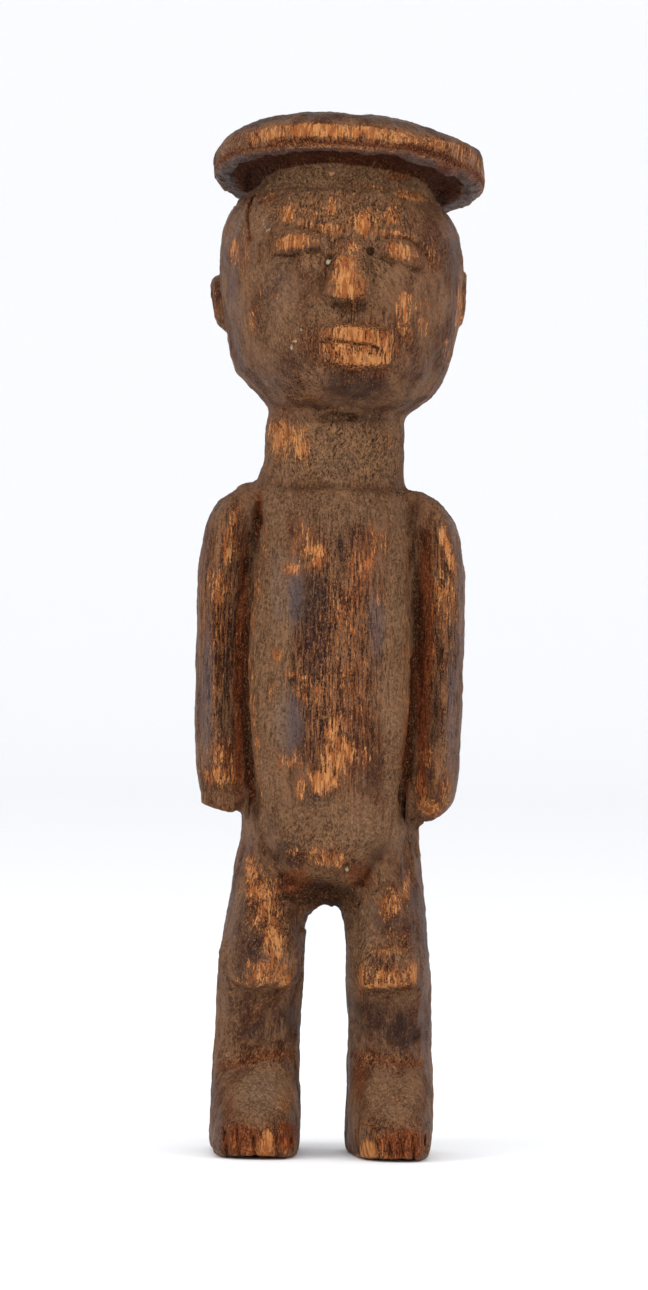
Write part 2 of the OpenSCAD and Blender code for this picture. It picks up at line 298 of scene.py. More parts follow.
# Lines and places on the face, as (x, z).
HAIRLINE = [
    (-18.4, 181), (-19.0, 186), (-18.2, 189.6), (-15.0, 191.2), (-8, 191.6), (1, 191.9),
    (10.9, 191.4), (17.2, 190.4), (19.0, 186.9), (20.2, 183), (21.2, 179),
]
BROW_RIGHT = [(-15.8, 181.2), (-11.6, 183.6), (-6.0, 182.9), (-3.0, 181.3), (-1.4, 179.2)]
BROW_LEFT = [(5.2, 180.6), (8.6, 181.8), (12.4, 181.6), (15.6, 179.4), (17.6, 176.4)]
EYE_RIGHT = (-8.9, 180.2)
EYE_LEFT = (11.5, 178.6)
EYE_SIZE = (5.2, 2.9)
LID_RIGHT = [(-13.4, 177.9), (-10, 177.8), (-4.9, 178.9)]
LID_LEFT = [(7.6, 177.6), (11.0, 176.4), (14.4, 175.6)]
LID_CREASE = [(9.3, 179.2), (12.2, 177.7), (13.3, 176.9)]
NOSE_X = 1.3
NOSE_TOP = 180.4
NOSE_BASE = 168.9
MOUTH = (2.85, 160.0)
MOUTH_SIZE = (6.9, 4.2)
MOUTH_TURN = -2.0
LIPS = [(-4.0, 160.8), (-0.8, 161.0), (2.8, 160.5), (6.4, 160.1)]
CHIN_CRACK = [(2.3, 150.9), (5.2, 150.5), (6.7, 150.1)]


def face_relief(x, z):
    """Hair, eyes, the channels beside the nose, the mouth, cheeks and chin."""
    height = np.zeros(np.broadcast(x, z).shape)
    # The hair stands a little behind the face's edge.
    height += cut(line(x, z, HAIRLINE), 1.4, 0.55 + 0.5 * ramp(x, -16, -18)) * ramp(x, 20.5, 16)
    # Sockets under the brows.
    height -= 0.9 * dome(oval(x, z, (EYE_RIGHT[0], 179.4), (8.2, 4.6), 2))
    height -= 0.9 * dome(oval(x, z, (EYE_LEFT[0], 177.9), (7.6, 4.8), -14))
    height += cut(line(x, z, BROW_RIGHT), 1.2, 0.5)
    height += cut(line(x, z, BROW_LEFT), 1.2, 0.4)
    # Closed eyes: low almonds with a crease under each.
    for place, turn in ((EYE_RIGHT, 5), (EYE_LEFT, -20)):
        height += 1.45 * ramp(almond(x, z, place, EYE_SIZE, turn, 1.7), 1.15, 0.25)
    height += cut(line(x, z, LID_RIGHT), 1.2, 0.9)
    height += cut(line(x, z, LID_LEFT), 1.2, 0.6)
    height += cut(line(x, z, LID_CREASE), 0.9, 0.3)
    # The nose stands between two shallow channels.
    for channel in ([(-3.4, 170.5), (-2.4, 179.6)], [(6.0, 170.5), (5.2, 178.6)]):
        height += cut(line(x, z, channel), 2.0, 0.3)
    # Mouth: a block with a slit.
    block = slab(x, z, MOUTH, MOUTH_SIZE, MOUTH_TURN, 1.6)
    height += 1.7 * ramp(block, 0.9, -1.0)
    height += 0.5 * dome(oval(x, z, MOUTH, (8.5, 5.5)))
    height += cut(line(x, z, LIPS), 1.0, 1.0)
    height += cut(line(x, z, [(-4.0, 156.3), (2.8, 155.2), (9.2, 155.9)]), 1.6, 0.5)
    height += cut(line(x, z, [(9.0, 162.2), (9.1, 159.6)]), 0.9, 0.4)
    # Cheeks and chin.
    height += 0.5 * dome(oval(x, z, (-10.5, 169), (8, 7)))
    height += 0.5 * dome(oval(x, z, (14.0, 167), (7, 7)))
    height += 0.6 * dome(oval(x, z, (2.5, 152.4), (9, 3.6)))
    height += cut(line(x, z, CHIN_CRACK), 0.9, 0.5)
    return height


def carve_front(field, low, high, relief, back=-4.0):
    """Moves the front skin between two corners by a relief in x and z."""
    where, x, y, z = field.window((low[0], -REACH, low[1]), (high[0], back, high[1]))
    height = relief(x[:, 0, :], z[0, :, :]).astype(np.float32)
    field.values[where] -= height[:, None, :] * ramp(y, back, back - 4).astype(np.float32)


JOIN, CUT = 1, -1


def blend_solid(field, low, high, shape, blend, sign):
    """Joins or cuts a solid, given by its distance at x, y and z, with a soft edge."""
    where, x, y, z = field.window(low, high)
    a = sign * field.values[where]
    b = shape(x, y, z).astype(np.float32)
    k = np.clip(0.5 + 0.5 * (a - b) / blend, 0, 1)
    field.values[where] = sign * (a * (1 - k) + b * k - blend * k * (1 - k))


def nose_shape(x, y, z):
    """A wedge: narrow at the bridge, wide at the wings, cut off square below."""
    up = np.clip((z - NOSE_BASE) / (NOSE_TOP - NOSE_BASE), 0, 1)
    half = 4.4 - 0.7 * smooth(up * 1.1)
    mid = NOSE_X - 0.2 + 0.6 * up
    across = (x - mid) / half
    front = -27.1 + 3.3 * up**1.6
    ridge = front - y + 0.4 * across**2 + 1.7 * across**6
    base = (NOSE_BASE + 0.7 * across**2 - z) + 0.2 * (y + 26.5)
    top = 0.8 * (z - NOSE_TOP - 0.3 * (y + 24))
    return np.maximum(ridge * 0.8, np.maximum(base, top))


def carve_face(field):
    carve_front(field, (-24, 148.5), (25, 193), face_relief)
    blend_solid(field, (-6, -30, 166), (9, -18, 185), nose_shape, 0.6, JOIN)


GROOVE_RIGHT = [
    (66.0, -16.8), (71.0, -16.2), (78.8, -16.8), (86.5, -17.8), (98.4, -18.6),
    (106.7, -18.4), (114.5, -17.4), (124.4, -16.2), (130.5, -15.8),
]
GROOVE_LEFT = [
    (66.0, 14.4), (71.4, 14.2), (77.3, 14.6), (83.3, 15.4), (89.1, 15.9), (99.0, 16.2),
    (111.1, 15.9), (123.0, 15.0), (128.4, 14.0), (131.0, 13.4),
]
BELLY_EDGE = [
    (-18.4, 67.0), (-15.9, 63.0), (-12.3, 59.2), (-9.0, 57.0), (-5.2, 55.2), (-1.3, 54.6),
    (2.7, 55.2), (6.0, 57.2), (9.5, 60.2), (13.0, 63.2), (15.7, 67.4),
]
ANKLE_RIGHT = [(-22.0, 17.2), (-17.4, 18.3), (-13.1, 19.9), (-6.8, 19.8)]
ANKLE_LEFT = [(3.8, 20.3), (10.3, 19.4), (14.3, 18.6), (20.5, 18.8)]
TOES_RIGHT = [(-19.6, 6.6), (-17.2, 7.0), (-14.2, 6.6), (-9.8, 5.6), (-7.0, 5.2)]
TOES_LEFT = [(10.2, 4.8), (12.5, 5.4), (14.8, 5.8), (17.1, 6.4), (19.4, 6.2)]


def groove(s, arm_side, trunk_side, depth):
    """A groove with one long flat side: s is the distance from its bottom."""
    return -depth * np.where(
        s > 0, np.clip(1 - s / arm_side, 0, 1), 1 - smooth(-s / trunk_side)
    )


def trunk_relief(x, z):
    """The grooves beside the arms, the chest, and the belly's edge and boss."""
    height = np.zeros(np.broadcast(x, z).shape)
    for side, places in ((-1, GROOVE_RIGHT), (1, GROOVE_LEFT)):
        zs, xs = zip(*places)
        s = side * (x - np.interp(z, zs, xs))
        along = ramp(z, 66, 71) * ramp(z, 131, 121)
        height += along * groove(s, 5.2, 1.9, 3.4)
        height += cut(np.abs(s), 1.3, 0.8) * along
    # The chest is a raised panel under the neck.
    height += cut(line(x, z, [(-15.5, 132.6), (-6, 132.9), (6, 132.7), (13, 132.2)]), 1.8, 0.5)
    # The belly ends in a curve, and the hips fall back below it.
    xs, zs = zip(*BELLY_EDGE)
    below = np.interp(x, xs, zs) - z
    middle = ramp(np.abs(x + 1.3), 14, 5)
    height -= 3.6 * middle * ramp(below, -0.8, 3.0) * ramp(below, 15, 5)
    height += 0.9 * middle * ramp(below, 0.5, -2.0) * ramp(below, -14, -4)
    # A low worn boss at the bottom of the belly.
    boss = slab(x, z, (-1.0, 59.4), (3.7, 2.2), -4, 1.2)
    height += 0.6 * ramp(boss, 0.6, -0.6) - 0.25 * ramp(np.abs(boss - 0.9), 0.6, 0.1)
    return height


def leg_relief(x, z):
    """The recess between the thighs, the knees and the ankles."""
    height = np.zeros(np.broadcast(x, z).shape)
    # The recess between the thighs.
    height -= 5.5 * dome(oval(x, z, (-0.9, 50.4), (5.6, 5.6)))
    # Knees: a ledge on the right leg, a square pad on the left.
    ledge = np.interp(x, [-20, -17.7, -13.3, -8.2, -6], [35.5, 33.8, 32.8, 33.8, 35.5])
    right = ramp(x, -4.0, -6.0)
    height += 0.95 * right * ramp(z, ledge - 0.4, ledge + 0.5) * ramp(z, 50, 39)
    pad = slab(x, z, (11.6, 37.6), (5.7, 3.7), 4, 0.8)
    height += 1.0 * ramp(pad, 0.7, -0.4)
    height -= 0.35 * ramp(slab(x, z, (11.6, 37.8), (4.4, 2.4), 4, 0.8), 0.8, -0.8)
    height += cut(line(x, z, [(6.3, 32.6), (9.6, 33.0), (11.8, 33.9), (17.0, 34.0)]), 1.6, 0.5)
    # Ankles.
    height += cut(line(x, z, ANKLE_RIGHT), 3.0, 0.7)
    height += cut(line(x, z, ANKLE_LEFT), 3.0, 0.7)
    height += 0.6 * dome(oval(x, z, (-14.0, 13.5), (7.5, 6.0)))
    height += 0.6 * dome(oval(x, z, (12.5, 13.0), (7.5, 6.0)))
    return height


def toe_relief(x, z):
    """The notches between the toes, leaning with the height."""
    height = np.zeros(np.broadcast(x, z).shape)
    for place, top in TOES_RIGHT + TOES_LEFT:
        lean = 0.10 * (z - 2)
        gap = np.abs(x - place + lean)
        height += cut(gap, 0.9, 1.0) * ramp(z, top, top - 1.6)
    return height


def under_toes(x, y, z):
    """The soles rise a little from the floor towards the toes."""
    return z - 0.11 * np.maximum(-11.5 - y, 0) + 0.02


# The ears: their side, the height of their middle and how far they stand out.
EARS = (("right", -1, 169.2, 0.4), ("left", 1, 171.2, 0.8))


def ear_rim(y, z, high):
    """Distance from an ear's middle, 1 at its rim."""
    return almond(y, z, (1.5, high), (3.4, 5.6), 0, 2.0)


def carve_ear(field, side, high, proud):
    """An ear with a groove round it and a hollow, on the side of the head."""
    near, far = sorted((side * 17.0, side * REACH))
    where, x, y, z = field.window((near, -6, 160), (far, 9, 180))
    rim = ear_rim(y, z, high)
    hollow = almond(y, z, (0.9, high + 0.4), (1.7, 3.2), 0, 2.0)
    height = proud * ramp(rim, 1.1, 0.8) - 0.5 * ramp(np.abs(rim - 1.3), 0.3, 0.05)
    height -= 1.5 * ramp(hollow, 1.2, 0.4)
    field.values[where] -= (height * ramp(side * x, 17, 19)).astype(np.float32)


def crown(x, y, z):
    """The top of the head, close under the cap."""
    away = 17.0 * (np.hypot((x - 0.5) / 17.4, (y + 0.6) / 17.4) - 1)
    return np.maximum(away + 0.12 * (z - 190), np.maximum(z - cap_bottom(x, y) - 2.5, 185 - z))


def right_hand(x, y, z):
    """The right arm's end, cut off in two slanting facets."""
    outer = -0.25 * (x + 20.1) - 0.97 * (z - 67.8)
    inner = 0.67 * (x + 20.1) - 0.74 * (z - 67.8)
    sides = np.maximum(-26.6 - 0.087 * (z - 71.3) - x, np.abs(y) - 6.4)
    return np.maximum(np.maximum(outer, inner), np.maximum(sides, z - 82))


# How much fuller than the CAD nodes the right and the left side are, by height.
FULLER_RIGHT = [
    (2, 0.4), (14, 0.3), (26, 0.5), (38, 0.6), (46, 0.3), (55, -0.4), (62.5, -1.1), (68, 0.0),
    (75, 0.9), (82, 0.8), (98, 0.4), (104, 0.1), (132, 0.3), (135, 1.2), (138, 0.4),
    (145, 0.3), (151, -0.7), (156, 0.3), (164, -0.6), (168, 0), (186, 0.3), (193, 0), (205, 0),
]
FULLER_LEFT = [
    (2, 0), (30, 0.3), (38, 0.4), (46, 0.2), (62.5, -0.4), (68, 0.2), (72, 0.6), (92, 0.6),
    (100, 0.3), (141, 0.1), (146, -0.4), (151, 0.6), (156, 0.2), (184, 0), (188.5, -0.6),
    (192, 0), (197, 0.3), (200.5, 1.5), (203, 0),
]


def fill_sides(field):
    """Moves the skin of both sides out or in, with the height."""
    x, _, z = (field.lines(axis) for axis in range(3))
    for side, places in ((-1, FULLER_RIGHT), (1, FULLER_LEFT)):
        zs, sizes = zip(*places)
        share = ramp(side * (x - AXIS_X), 9, 14).astype(np.float32)[:, None]
        move = share * np.interp(z, zs, sizes, 0, 0).astype(np.float32)[None, :]
        field.values -= move[:, None, :]


def soften_hips(field):
    """Rounds off the sharp corners where the arms end against the hips."""
    where, x, y, z = field.window((-REACH, -REACH, 56), (REACH, REACH, 78))
    soft = field.blurred(14, field.values[where])
    share = ramp(z, 58, 61) * ramp(z, 71, 68) * ramp(np.abs(x - AXIS_X), 12, 14)
    field.values[where] += (share * (soft - field.values[where])).astype(np.float32)


def cap_underside(x, y, z):
    """Hollows the cap's underside between its rim and the head."""
    away = np.hypot(x - CAP_MID[0], y - CAP_MID[1])
    ring = np.maximum(away - (CAP_R - 3.8), (CAP_R - 11) - away)
    roof = z - cap_bottom(x, y) - 1.2 * ramp(away, CAP_R - 11, CAP_R - 7) * ramp(y, 4, -6)
    floor = cap_bottom(x, y) - 2.5 - z
    return np.maximum(ring, np.maximum(roof, floor))


PIN_HOLES = [((5.1, -22, 178.8), 0.75), ((-2.7, -22, 177.4), 0.55)]
PIN_DEPTH = 3.0


def drill(field, place, radius):
    """A short round hole into the front, its mouth at place."""
    px, py, pz = place

    def shape(x, y, z):
        return np.maximum(np.hypot(x - px, z - pz) - radius, y - py - PIN_DEPTH)

    blend_solid(field, (px - 2, -30, pz - 2), (px + 2, -12, pz + 2), shape, 0.15, CUT)


def scoop(field, point, normal, along, depth, radii):
    """One knife or gouge cut that takes wood off a small place."""
    reach = 1.25 * math.sqrt(2 * radii[0] * depth) + 0.8
    where, x, y, z = field.window(point - reach, point + reach)
    side = np.cross(normal, along)
    dx, dy, dz = x - point[0], y - point[1], z - point[2]
    h = dx * normal[0] + dy * normal[1] + dz * normal[2]
    u = dx * along[0] + dy * along[1] + dz * along[2]
    v = dx * side[0] + dy * side[1] + dz * side[2]
    blade = h + depth - u * u / (2 * radii[0]) - v * v / (2 * radii[1])
    near = (np.abs(u) < reach) & (np.abs(v) < reach) & (np.abs(h) < 2.0)
    area = field.values[where]
    blade = np.minimum(blade, area + 1.1 * depth)
    field.values[where] = np.where(near, np.maximum(area, blade), area).astype(np.float32)


# Count, lowest and highest place, depth, radii along and across, lean and seed.
KNIFE_MARKS = [
    (520, 58, 131, 0.34, (60, 9), 0.15, 1),
    (330, 148, 190, 0.32, (30, 12), 0.5, 2),
    (300, 8, 56, 0.36, (40, 9), 0.2, 3),
    (140, 190, 207, 0.38, (16, 14), 1.0, 4),
    (70, 135, 147, 0.24, (24, 10), 0.3, 5),
]


def knife_marks(field, count, low, high, depth, radii, lean, seed):
    """Shallow cuts all over the skin between two heights, mostly along the grain."""
    random = np.random.default_rng(SEED + seed)
    points, quads = field.surface()
    corners = points[quads]
    normals = np.cross(corners[:, 2] - corners[:, 0], corners[:, 3] - corners[:, 1])
    normals /= np.linalg.norm(normals, axis=1)[:, None] + 1e-9
    middles = corners.mean(1)
    if np.sum(normals * (middles - middles.mean(0))) < 0:
        normals = -normals
    level = field.sample(middles, box_blur(field.values, 5, 2))
    chosen = (middles[:, 2] > low) & (middles[:, 2] < high) & (level > -0.02)
    chosen = np.where(chosen)[0]
    chosen = random.choice(chosen, count, replace=False)
    for row in chosen:
        normal = normals[row]
        along = np.array([lean * random.normal(), lean * random.normal(), 1.0])
        along -= normal * (along @ normal)
        size = np.linalg.norm(along)
        if size < 0.35:
            continue
        scale = random.uniform(0.5, 1.2)
        scoop(field, middles[row], normal, along / size, depth * scale, radii)


def make_field():
    """The whole carved figure, before it is divided."""
    field = joined_block()
    # The cap keeps its crisp edges, and everything below it is softened.
    crisp = ramp(field.lines(2), 189, 193).astype(np.float32)
    field.values = field.values * crisp + field.blurred(5) * (1 - crisp)
    soften_hips(field)
    fill_sides(field)
    blend_solid(field, (-30, -12, 62), (-16, 12, 80), right_hand, 0.8, JOIN)
    blend_solid(
        field, (-REACH, -REACH, 180), (REACH, REACH, 204), cap_underside, 0.4, CUT
    )
    blend_solid(field, (-24, -24, 184), (24, 24, 204), crown, 1.6, JOIN)
    carve_front(field, (-24, 34), (23, 134), trunk_relief)
    carve_front(field, (-24, 5), (23, 60), leg_relief)
    for marks in KNIFE_MARKS:
        knife_marks(field, *marks)
    carve_front(field, (-24, 0), (23, 12), toe_relief, -12.0)
    blend_solid(field, (-24, -24, -2), (23, -11, 2), under_toes, 0.1, CUT)
    carve_face(field)
    for _, side, high, proud in EARS:
        carve_ear(field, side, high, proud)
    for place, radius in PIN_HOLES:
        drill(field, place, radius)
    return field


# ---- From the field to a skin ----


def box_blur(values, half, passes):
    """A wide blur, by running sums."""
    out = values.astype(np.float32)
    width = 2 * half + 1
    for _ in range(passes):
        for axis in range(3):
            pad = [(0, 0)] * 3
            pad[axis] = (half + 1, half)
            sums = np.cumsum(np.pad(out, pad, mode="edge"), axis=axis, dtype=np.float64)
            sums = np.moveaxis(sums, axis, 0)
            out = np.moveaxis((sums[width:] - sums[:-width]) / width, 0, axis)
            out = out.astype(np.float32)
    return out


def vertex_normals(points, triangles):
    """The skin's normals at its points, from the triangles round each."""
    a, b, c = (points[triangles[:, k]] for k in range(3))
    face = np.cross(b - a, c - a)
    total = np.zeros_like(points)
    for axis in range(3):
        for corner in range(3):
            total[:, axis] += np.bincount(
                triangles[:, corner], face[:, axis], minlength=len(points)
            )
    return total / (np.linalg.norm(total, axis=1)[:, None] + 1e-12)


# The kinds of wear and of painted shade and highlight, in the order in which the mesh keeps them.
WEAR = ("bare", "grime", "dust", "dark", "polish", "red", "grain", "coarse", "chalk")

# Worn places on the front: x, z, half width, half height, turn and strength.
PLACES = {
    "bare": [
        # forehead
        (3.6, 184.4, 2.4, 2.6, 0, 1.1), (-2.4, 187.6, 1, 2.6, 0, 0.9),
        (9.2, 186.2, 1.6, 2.2, 0, 0.85), (-11.2, 186.1, 1.7, 2.2, 10, 0.9),
        (6.4, 191.8, 3.6, 0.7, -6, 0.8), (13, 190.4, 3.4, 1, -10, 1.1),
        (-14.8, 189, 2.2, 1.6, 30, 0.5), (-4, 183, 6, 1.8, 0, 0.7),
        (9.5, 182.4, 5.5, 1, -6, 0.8), (0, 186, 16, 4.6, 0, 0.5), (17.4, 178.4, 1.2, 5, 0, 0.6),
        (-2.8, 194.3, 0.7, 0.4, 0, 1.6),
        # eyes, nose, mouth
        (-10, 180.4, 3.8, 1.7, 5, 1.05), (11.4, 179, 4, 1.7, -20, 1),
        (1, 173.4, 3.8, 5.8, 0, 1.1), (1.6, 179.4, 1.8, 1.8, 0, 1), (3.4, 173, 0.7, 3, 0, 1.3),
        (0.9, 170.6, 1.6, 0.7, 0, 1.2), (2.8, 160.2, 7.6, 4.8, -2, 1),
        (4, 157.6, 5.4, 1.4, -2, 1.35), (8.8, 159.6, 0.6, 3, 6, 1.3),
        (1.8, 163, 2.2, 1.2, 0, 1.2),
        # cheeks and temples
        (12.2, 168.2, 2.2, 3.2, 10, 0.95), (12.4, 163.4, 1.6, 2.6, 0, 0.8),
        (16, 164.4, 1.4, 2.4, 0, 0.7), (16.4, 169, 1.5, 1.8, 0, 0.6),
        (-19.4, 178, 1.2, 6.5, 0, 0.6), (-16.4, 169.4, 1.2, 3.4, 0, 0.5),
        (-21.6, 178.9, 1.2, 2.8, 0, 1), (-17.9, 165, 0.8, 3.2, 0, 0.8),
        (-13.5, 169.9, 1.2, 1, 0, 0.6), (23.4, 168, 1, 7, 0, 0.9), (21, 160, 1, 4, 0, 0.6),
        (-19, 187, 1, 2.4, 0, 0.6), (-9, 160, 1.2, 1.2, 0, 0.5),
        (-5.5, 150.6, 3.2, 1.2, 0, 0.4),
        # neck
        (-11.6, 143.2, 3.6, 4.6, 15, 1), (-7.6, 141, 1.8, 4.2, 0, 0.95),
        (10, 143.5, 1.5, 3, 0, 0.45),
        # chest and belly
        (-7, 121.6, 3, 5, 0, 0.6), (-4, 119, 1.6, 3, 12, 1), (-9, 116.4, 2, 1.4, 0, 0.9),
        (7.6, 122.6, 2.8, 3.2, 0, 0.6), (4.6, 117.4, 3.6, 5, 0, 0.55), (2, 108.6, 3, 6, 0, 0.6),
        (8.8, 111.6, 1.6, 2.2, 0, 0.7), (-11.6, 99.6, 1.2, 1.8, 0, 0.8),
        (-7.4, 95.4, 2.6, 1, 0, 0.85), (-12.6, 92.6, 1, 2.4, 0, 0.7), (-5, 92, 5, 2.4, 0, 0.55),
        (2, 99, 5, 9, 0, 0.5), (-0.4, 84.4, 1.5, 4.4, 0, 0.95), (0.6, 79.4, 4.2, 4.4, 0, 0.95),
        (-1.6, 74.6, 3.4, 2.4, 0, 1.15), (-9.6, 78.4, 2.2, 1.6, 0, 0.7),
        (-6.4, 73.2, 1, 2.4, 0, 1), (5.6, 80, 2, 3, 0, 0.6), (-6, 79, 7, 2.6, 0, 0.45),
        (4, 86, 4.6, 5, 0, 0.45), (-2.4, 59.6, 4, 2.3, 0, 0.75), (1.2, 59, 1.6, 1.6, 0, 0.9),
        (-7.6, 60.6, 1.6, 1.2, 0, 0.6),
        # right arm
        (-21.6, 122.6, 1.2, 7, -12, 0.85), (-23.6, 112.6, 2.8, 5, -6, 0.8),
        (-21.4, 120, 1.6, 3, -12, 0.8), (-24, 104.4, 2, 3.6, 0, 0.55),
        (-22, 79.6, 3, 3.6, 0, 0.75), (-22.4, 75.2, 3.6, 2.6, 0, 0.85),
        (-23.6, 93, 1.4, 8, 0, 0.35), (-18.6, 95.4, 1, 3, 0, 0.4),
        # left arm
        (21.4, 122.4, 1.2, 3.2, 15, 0.95), (22.6, 118.2, 1.2, 3, 20, 0.95),
        (20.6, 111, 3.4, 6.4, 0, 0.7), (20.8, 101.6, 2.6, 5, 0, 0.4),
        (18.6, 79.4, 1.2, 2.4, 0, 0.8), (17.6, 72.6, 1.6, 4, 5, 0.95),
        (19.6, 69.4, 2.4, 2, -20, 1), (22.4, 73.4, 1.2, 4, 0, 0.8),
        # thighs
        (-16, 54.6, 1.4, 4.6, 4, 0.95), (-12.6, 50, 2.4, 6.6, 14, 0.8),
        (-11.2, 42.4, 2, 5.6, 12, 1), (-12, 36.8, 4.6, 2.6, 0, 1), (-9, 35.2, 1.6, 1.8, 0, 1.1),
        (-14.6, 46.4, 1.4, 1.6, 0, 0.8), (11.6, 50.4, 2.4, 3.4, 0, 0.75),
        (14.9, 53.4, 0.9, 4, 0, 0.85), (11.6, 36.2, 5.2, 2.2, 4, 0.7),
        (11, 34.4, 5, 0.7, 4, 1.1), (16.6, 37, 0.8, 2.4, 0, 1.3), (6.2, 36, 0.6, 3.4, 0, 1.1),
        (12, 41.4, 4.4, 1, 4, 0.8), (13, 44.4, 2.4, 2.4, 0, 0.45),
        # ankles and feet
        (-8.2, 11.4, 2, 2, 0, 0.6), (13.6, 12.4, 1.2, 0.8, 0, 0.6),
        (-11.8, 2.6, 1.9, 3.6, 0, 1.3), (-15.6, 1.6, 3.4, 1.4, 0, 0.75),
        (-7.6, 2.2, 1.8, 3, 0, 0.7), (-18.4, 2.8, 1, 2.6, 0, 0.6), (8.4, 1.6, 2, 2.8, 0, 1.5),
        (13.2, 1.2, 3.6, 1.2, 0, 0.9), (16.4, 3.2, 1.2, 3, 0, 0.65),
        (11.4, 3.4, 0.9, 2, 0, 0.7),
    ],
    # Grime, with painted shade: in the recess between the thighs, under and beside the nose, in
    # the arm grooves, under the belly's edge, the jaw, the chest line and the knees.
    "grime": [
        (-1, 51.6, 6.6, 3.4, 0, 1), (1.4, 167.4, 4, 1.5, 0, 0.8),
        (4.6, 176.6, 2.4, 3.4, -10, 0.6), (-2.6, 177, 1.4, 2, 0, 0.6),
        (-16.4, 126, 1.2, 5, 0, 0.6), (14.6, 126, 1.4, 5, 0, 0.7), (-15.4, 70, 1.4, 4, 0, 0.8),
        (13.8, 70, 1.2, 5, 0, 0.8), (5.4, 178.4, 1.4, 1.6, 0, 0.7), (1, 168, 4.4, 0.9, 0, 0.9),
        (-11, 59.4, 5, 1.6, -35, 0.5), (8.6, 60, 5, 1.6, 38, 0.45),
        (0, 146.4, 13, 1.4, 0, 0.55), (-4, 133.2, 14, 0.8, 0, 0.45), (12, 32.6, 6, 0.9, 4, 0.6),
        (-13, 32, 5.4, 0.9, 0, 0.5),
    ],
    "dust": [
        (-13.6, 100, 3.8, 30, 0, 1.5), (12.8, 98, 3.2, 28, 0, 1.4),
        (-1, 128.6, 15, 4.6, 0, 0.6), (0, 66, 15, 6, 0, 0.7), (0, 140, 16, 8, 0, 0.75),
        (-1.6, 55, 9, 4, 0, 0.5), (-13.4, 12.6, 5, 5, 0, 0.9), (12.4, 12.6, 6, 5, 0, 0.7),
        (-20, 28, 3, 16, 0, 0.5), (6, 44, 3, 12, 0, 0.6), (-14, 174, 6, 5, 0, 0.5),
        (6, 174, 4, 6, 0, 0.6), (-12, 165, 8, 8, 0, 0.5), (0, 192, 22, 2.4, 0, 0.9),
        (-2, 166.6, 6, 2.6, 0, 0.7), (-1, 187, 16, 7, 0, 0.8),
    ],
    "dark": [
        (-20.6, 98, 2.6, 24, 0, 0.45), (19.6, 92, 3.6, 22, 0, 0.5), (22.4, 96, 1.6, 20, 0, 0.5),
        (0, 126.6, 9, 3.4, 0, 0.5), (-19, 50, 2, 10, 0, 0.4), (4.6, 44, 1.6, 12, 0, 0.35),
        (0, 66.6, 6, 2.6, 0, 0.5), (-12, 66, 4, 3, 20, 0.4), (-5.6, 110.4, 4.2, 5.4, 0, 1),
        (-3.6, 103, 3, 5, 0, 0.8), (0.6, 119, 2.4, 8, 0, 0.6), (2.4, 103.6, 3, 4, 0, 0.5),
        (-4, 97, 2.6, 3, 0, 0.7), (-3.4, 71.4, 4, 2.2, 0, 0.7), (-9, 86, 3.6, 6, 0, 0.5),
        (7.6, 74.8, 3.2, 3, 0, 0.5), (2.4, 152.4, 7, 3.2, 0, 0.8), (-9, 155, 5, 5, 30, 0.5),
        (-16.4, 41.4, 3, 6.4, 12, 0.8), (-17.4, 37, 1.6, 3.6, 0, 0.8),
        (12.4, 46, 3.6, 3.6, 0, 0.7), (8, 61.6, 3.6, 4.4, 0, 0.5),
        (-8.6, 60.6, 3.2, 3.2, 20, 0.8), (12.6, 26.4, 5.6, 3.6, 5, 0.9),
        (9, 29, 4, 2.4, -30, 0.8), (15.4, 24, 4, 2.6, 10, 0.9), (-8.4, 27, 3.6, 3.6, 20, 0.8),
        (-14, 25, 5, 2.6, 0, 0.7), (-18, 30, 3, 3, 0, 0.6), (4, 146.5, 5, 1.6, 0, 0.8),
        (0.3, 137.6, 3.4, 2.6, 0, 0.9), (-3, 142, 2.4, 3, 0, 0.5), (18.8, 42, 1.4, 6, 0, 0.6),
        (-12, 130, 3.4, 3, 0, 0.4), (1.6, 128.4, 9, 3, 0, 0.5), (18.2, 77, 2, 3.4, 0, 0.9),
        (16.8, 104, 1.5, 16, 0, 0.6), (-21.6, 84.6, 2.6, 3.2, 0, 0.5),
        (-9, 138.6, 2, 3.4, 0, 0.5), (19.6, 160, 3.4, 7, 0, 0.4), (-21, 62, 2, 4, 0, 0.4),
    ],
    # Polish, with a painted bluish highlight: on the torso, cheeks, nose, jaw, the outer edges of
    # arms and legs, and the cap's end.
    "polish": [
        (-11.4, 112, 2.2, 10, 0, 1), (-8.6, 112, 2.4, 9, 0, 1), (-9.4, 86, 3.4, 8, 0, 1.1),
        (8, 106, 2.4, 9, 0, 0.9), (-12.6, 171, 4, 6, 0, 0.7), (15.6, 158, 4.4, 7, -20, 0.6),
        (-13.6, 155.6, 5, 5, 20, 0.6), (0.6, 175, 2.6, 4, 0, 0.8), (-19, 184, 1.6, 5, 0, 0.6),
        (-25.4, 92, 1.4, 20, 0, 1), (23.4, 88, 1.4, 16, 0, 1), (18.6, 88, 0.9, 8, 0, 0.7),
        (-19.6, 48, 1.6, 12, 0, 0.7), (18, 48, 1.4, 10, 0, 0.7), (-13, 13, 4.6, 5, 0, 0.8),
        (8, 47, 2.4, 8, 0, 0.6), (0, 124, 6, 3, 0, 0.3), (22, 196, 4, 3, -10, 0.7),
        (-4, 154, 4, 2, 0, 0.5),
    ],
    # Red-brown stain, with painted shade along the arm grooves and in the crease below the belly.
    "red": [
        (-7, 54.4, 3.6, 3.4, 30, 0.75), (5.8, 55.6, 3.6, 3, -30, 0.7),
        (-15.8, 127, 0.9, 5, 0, 1), (14.4, 78, 0.9, 9, 0, 1), (15.2, 92, 0.8, 10, 0, 0.6),
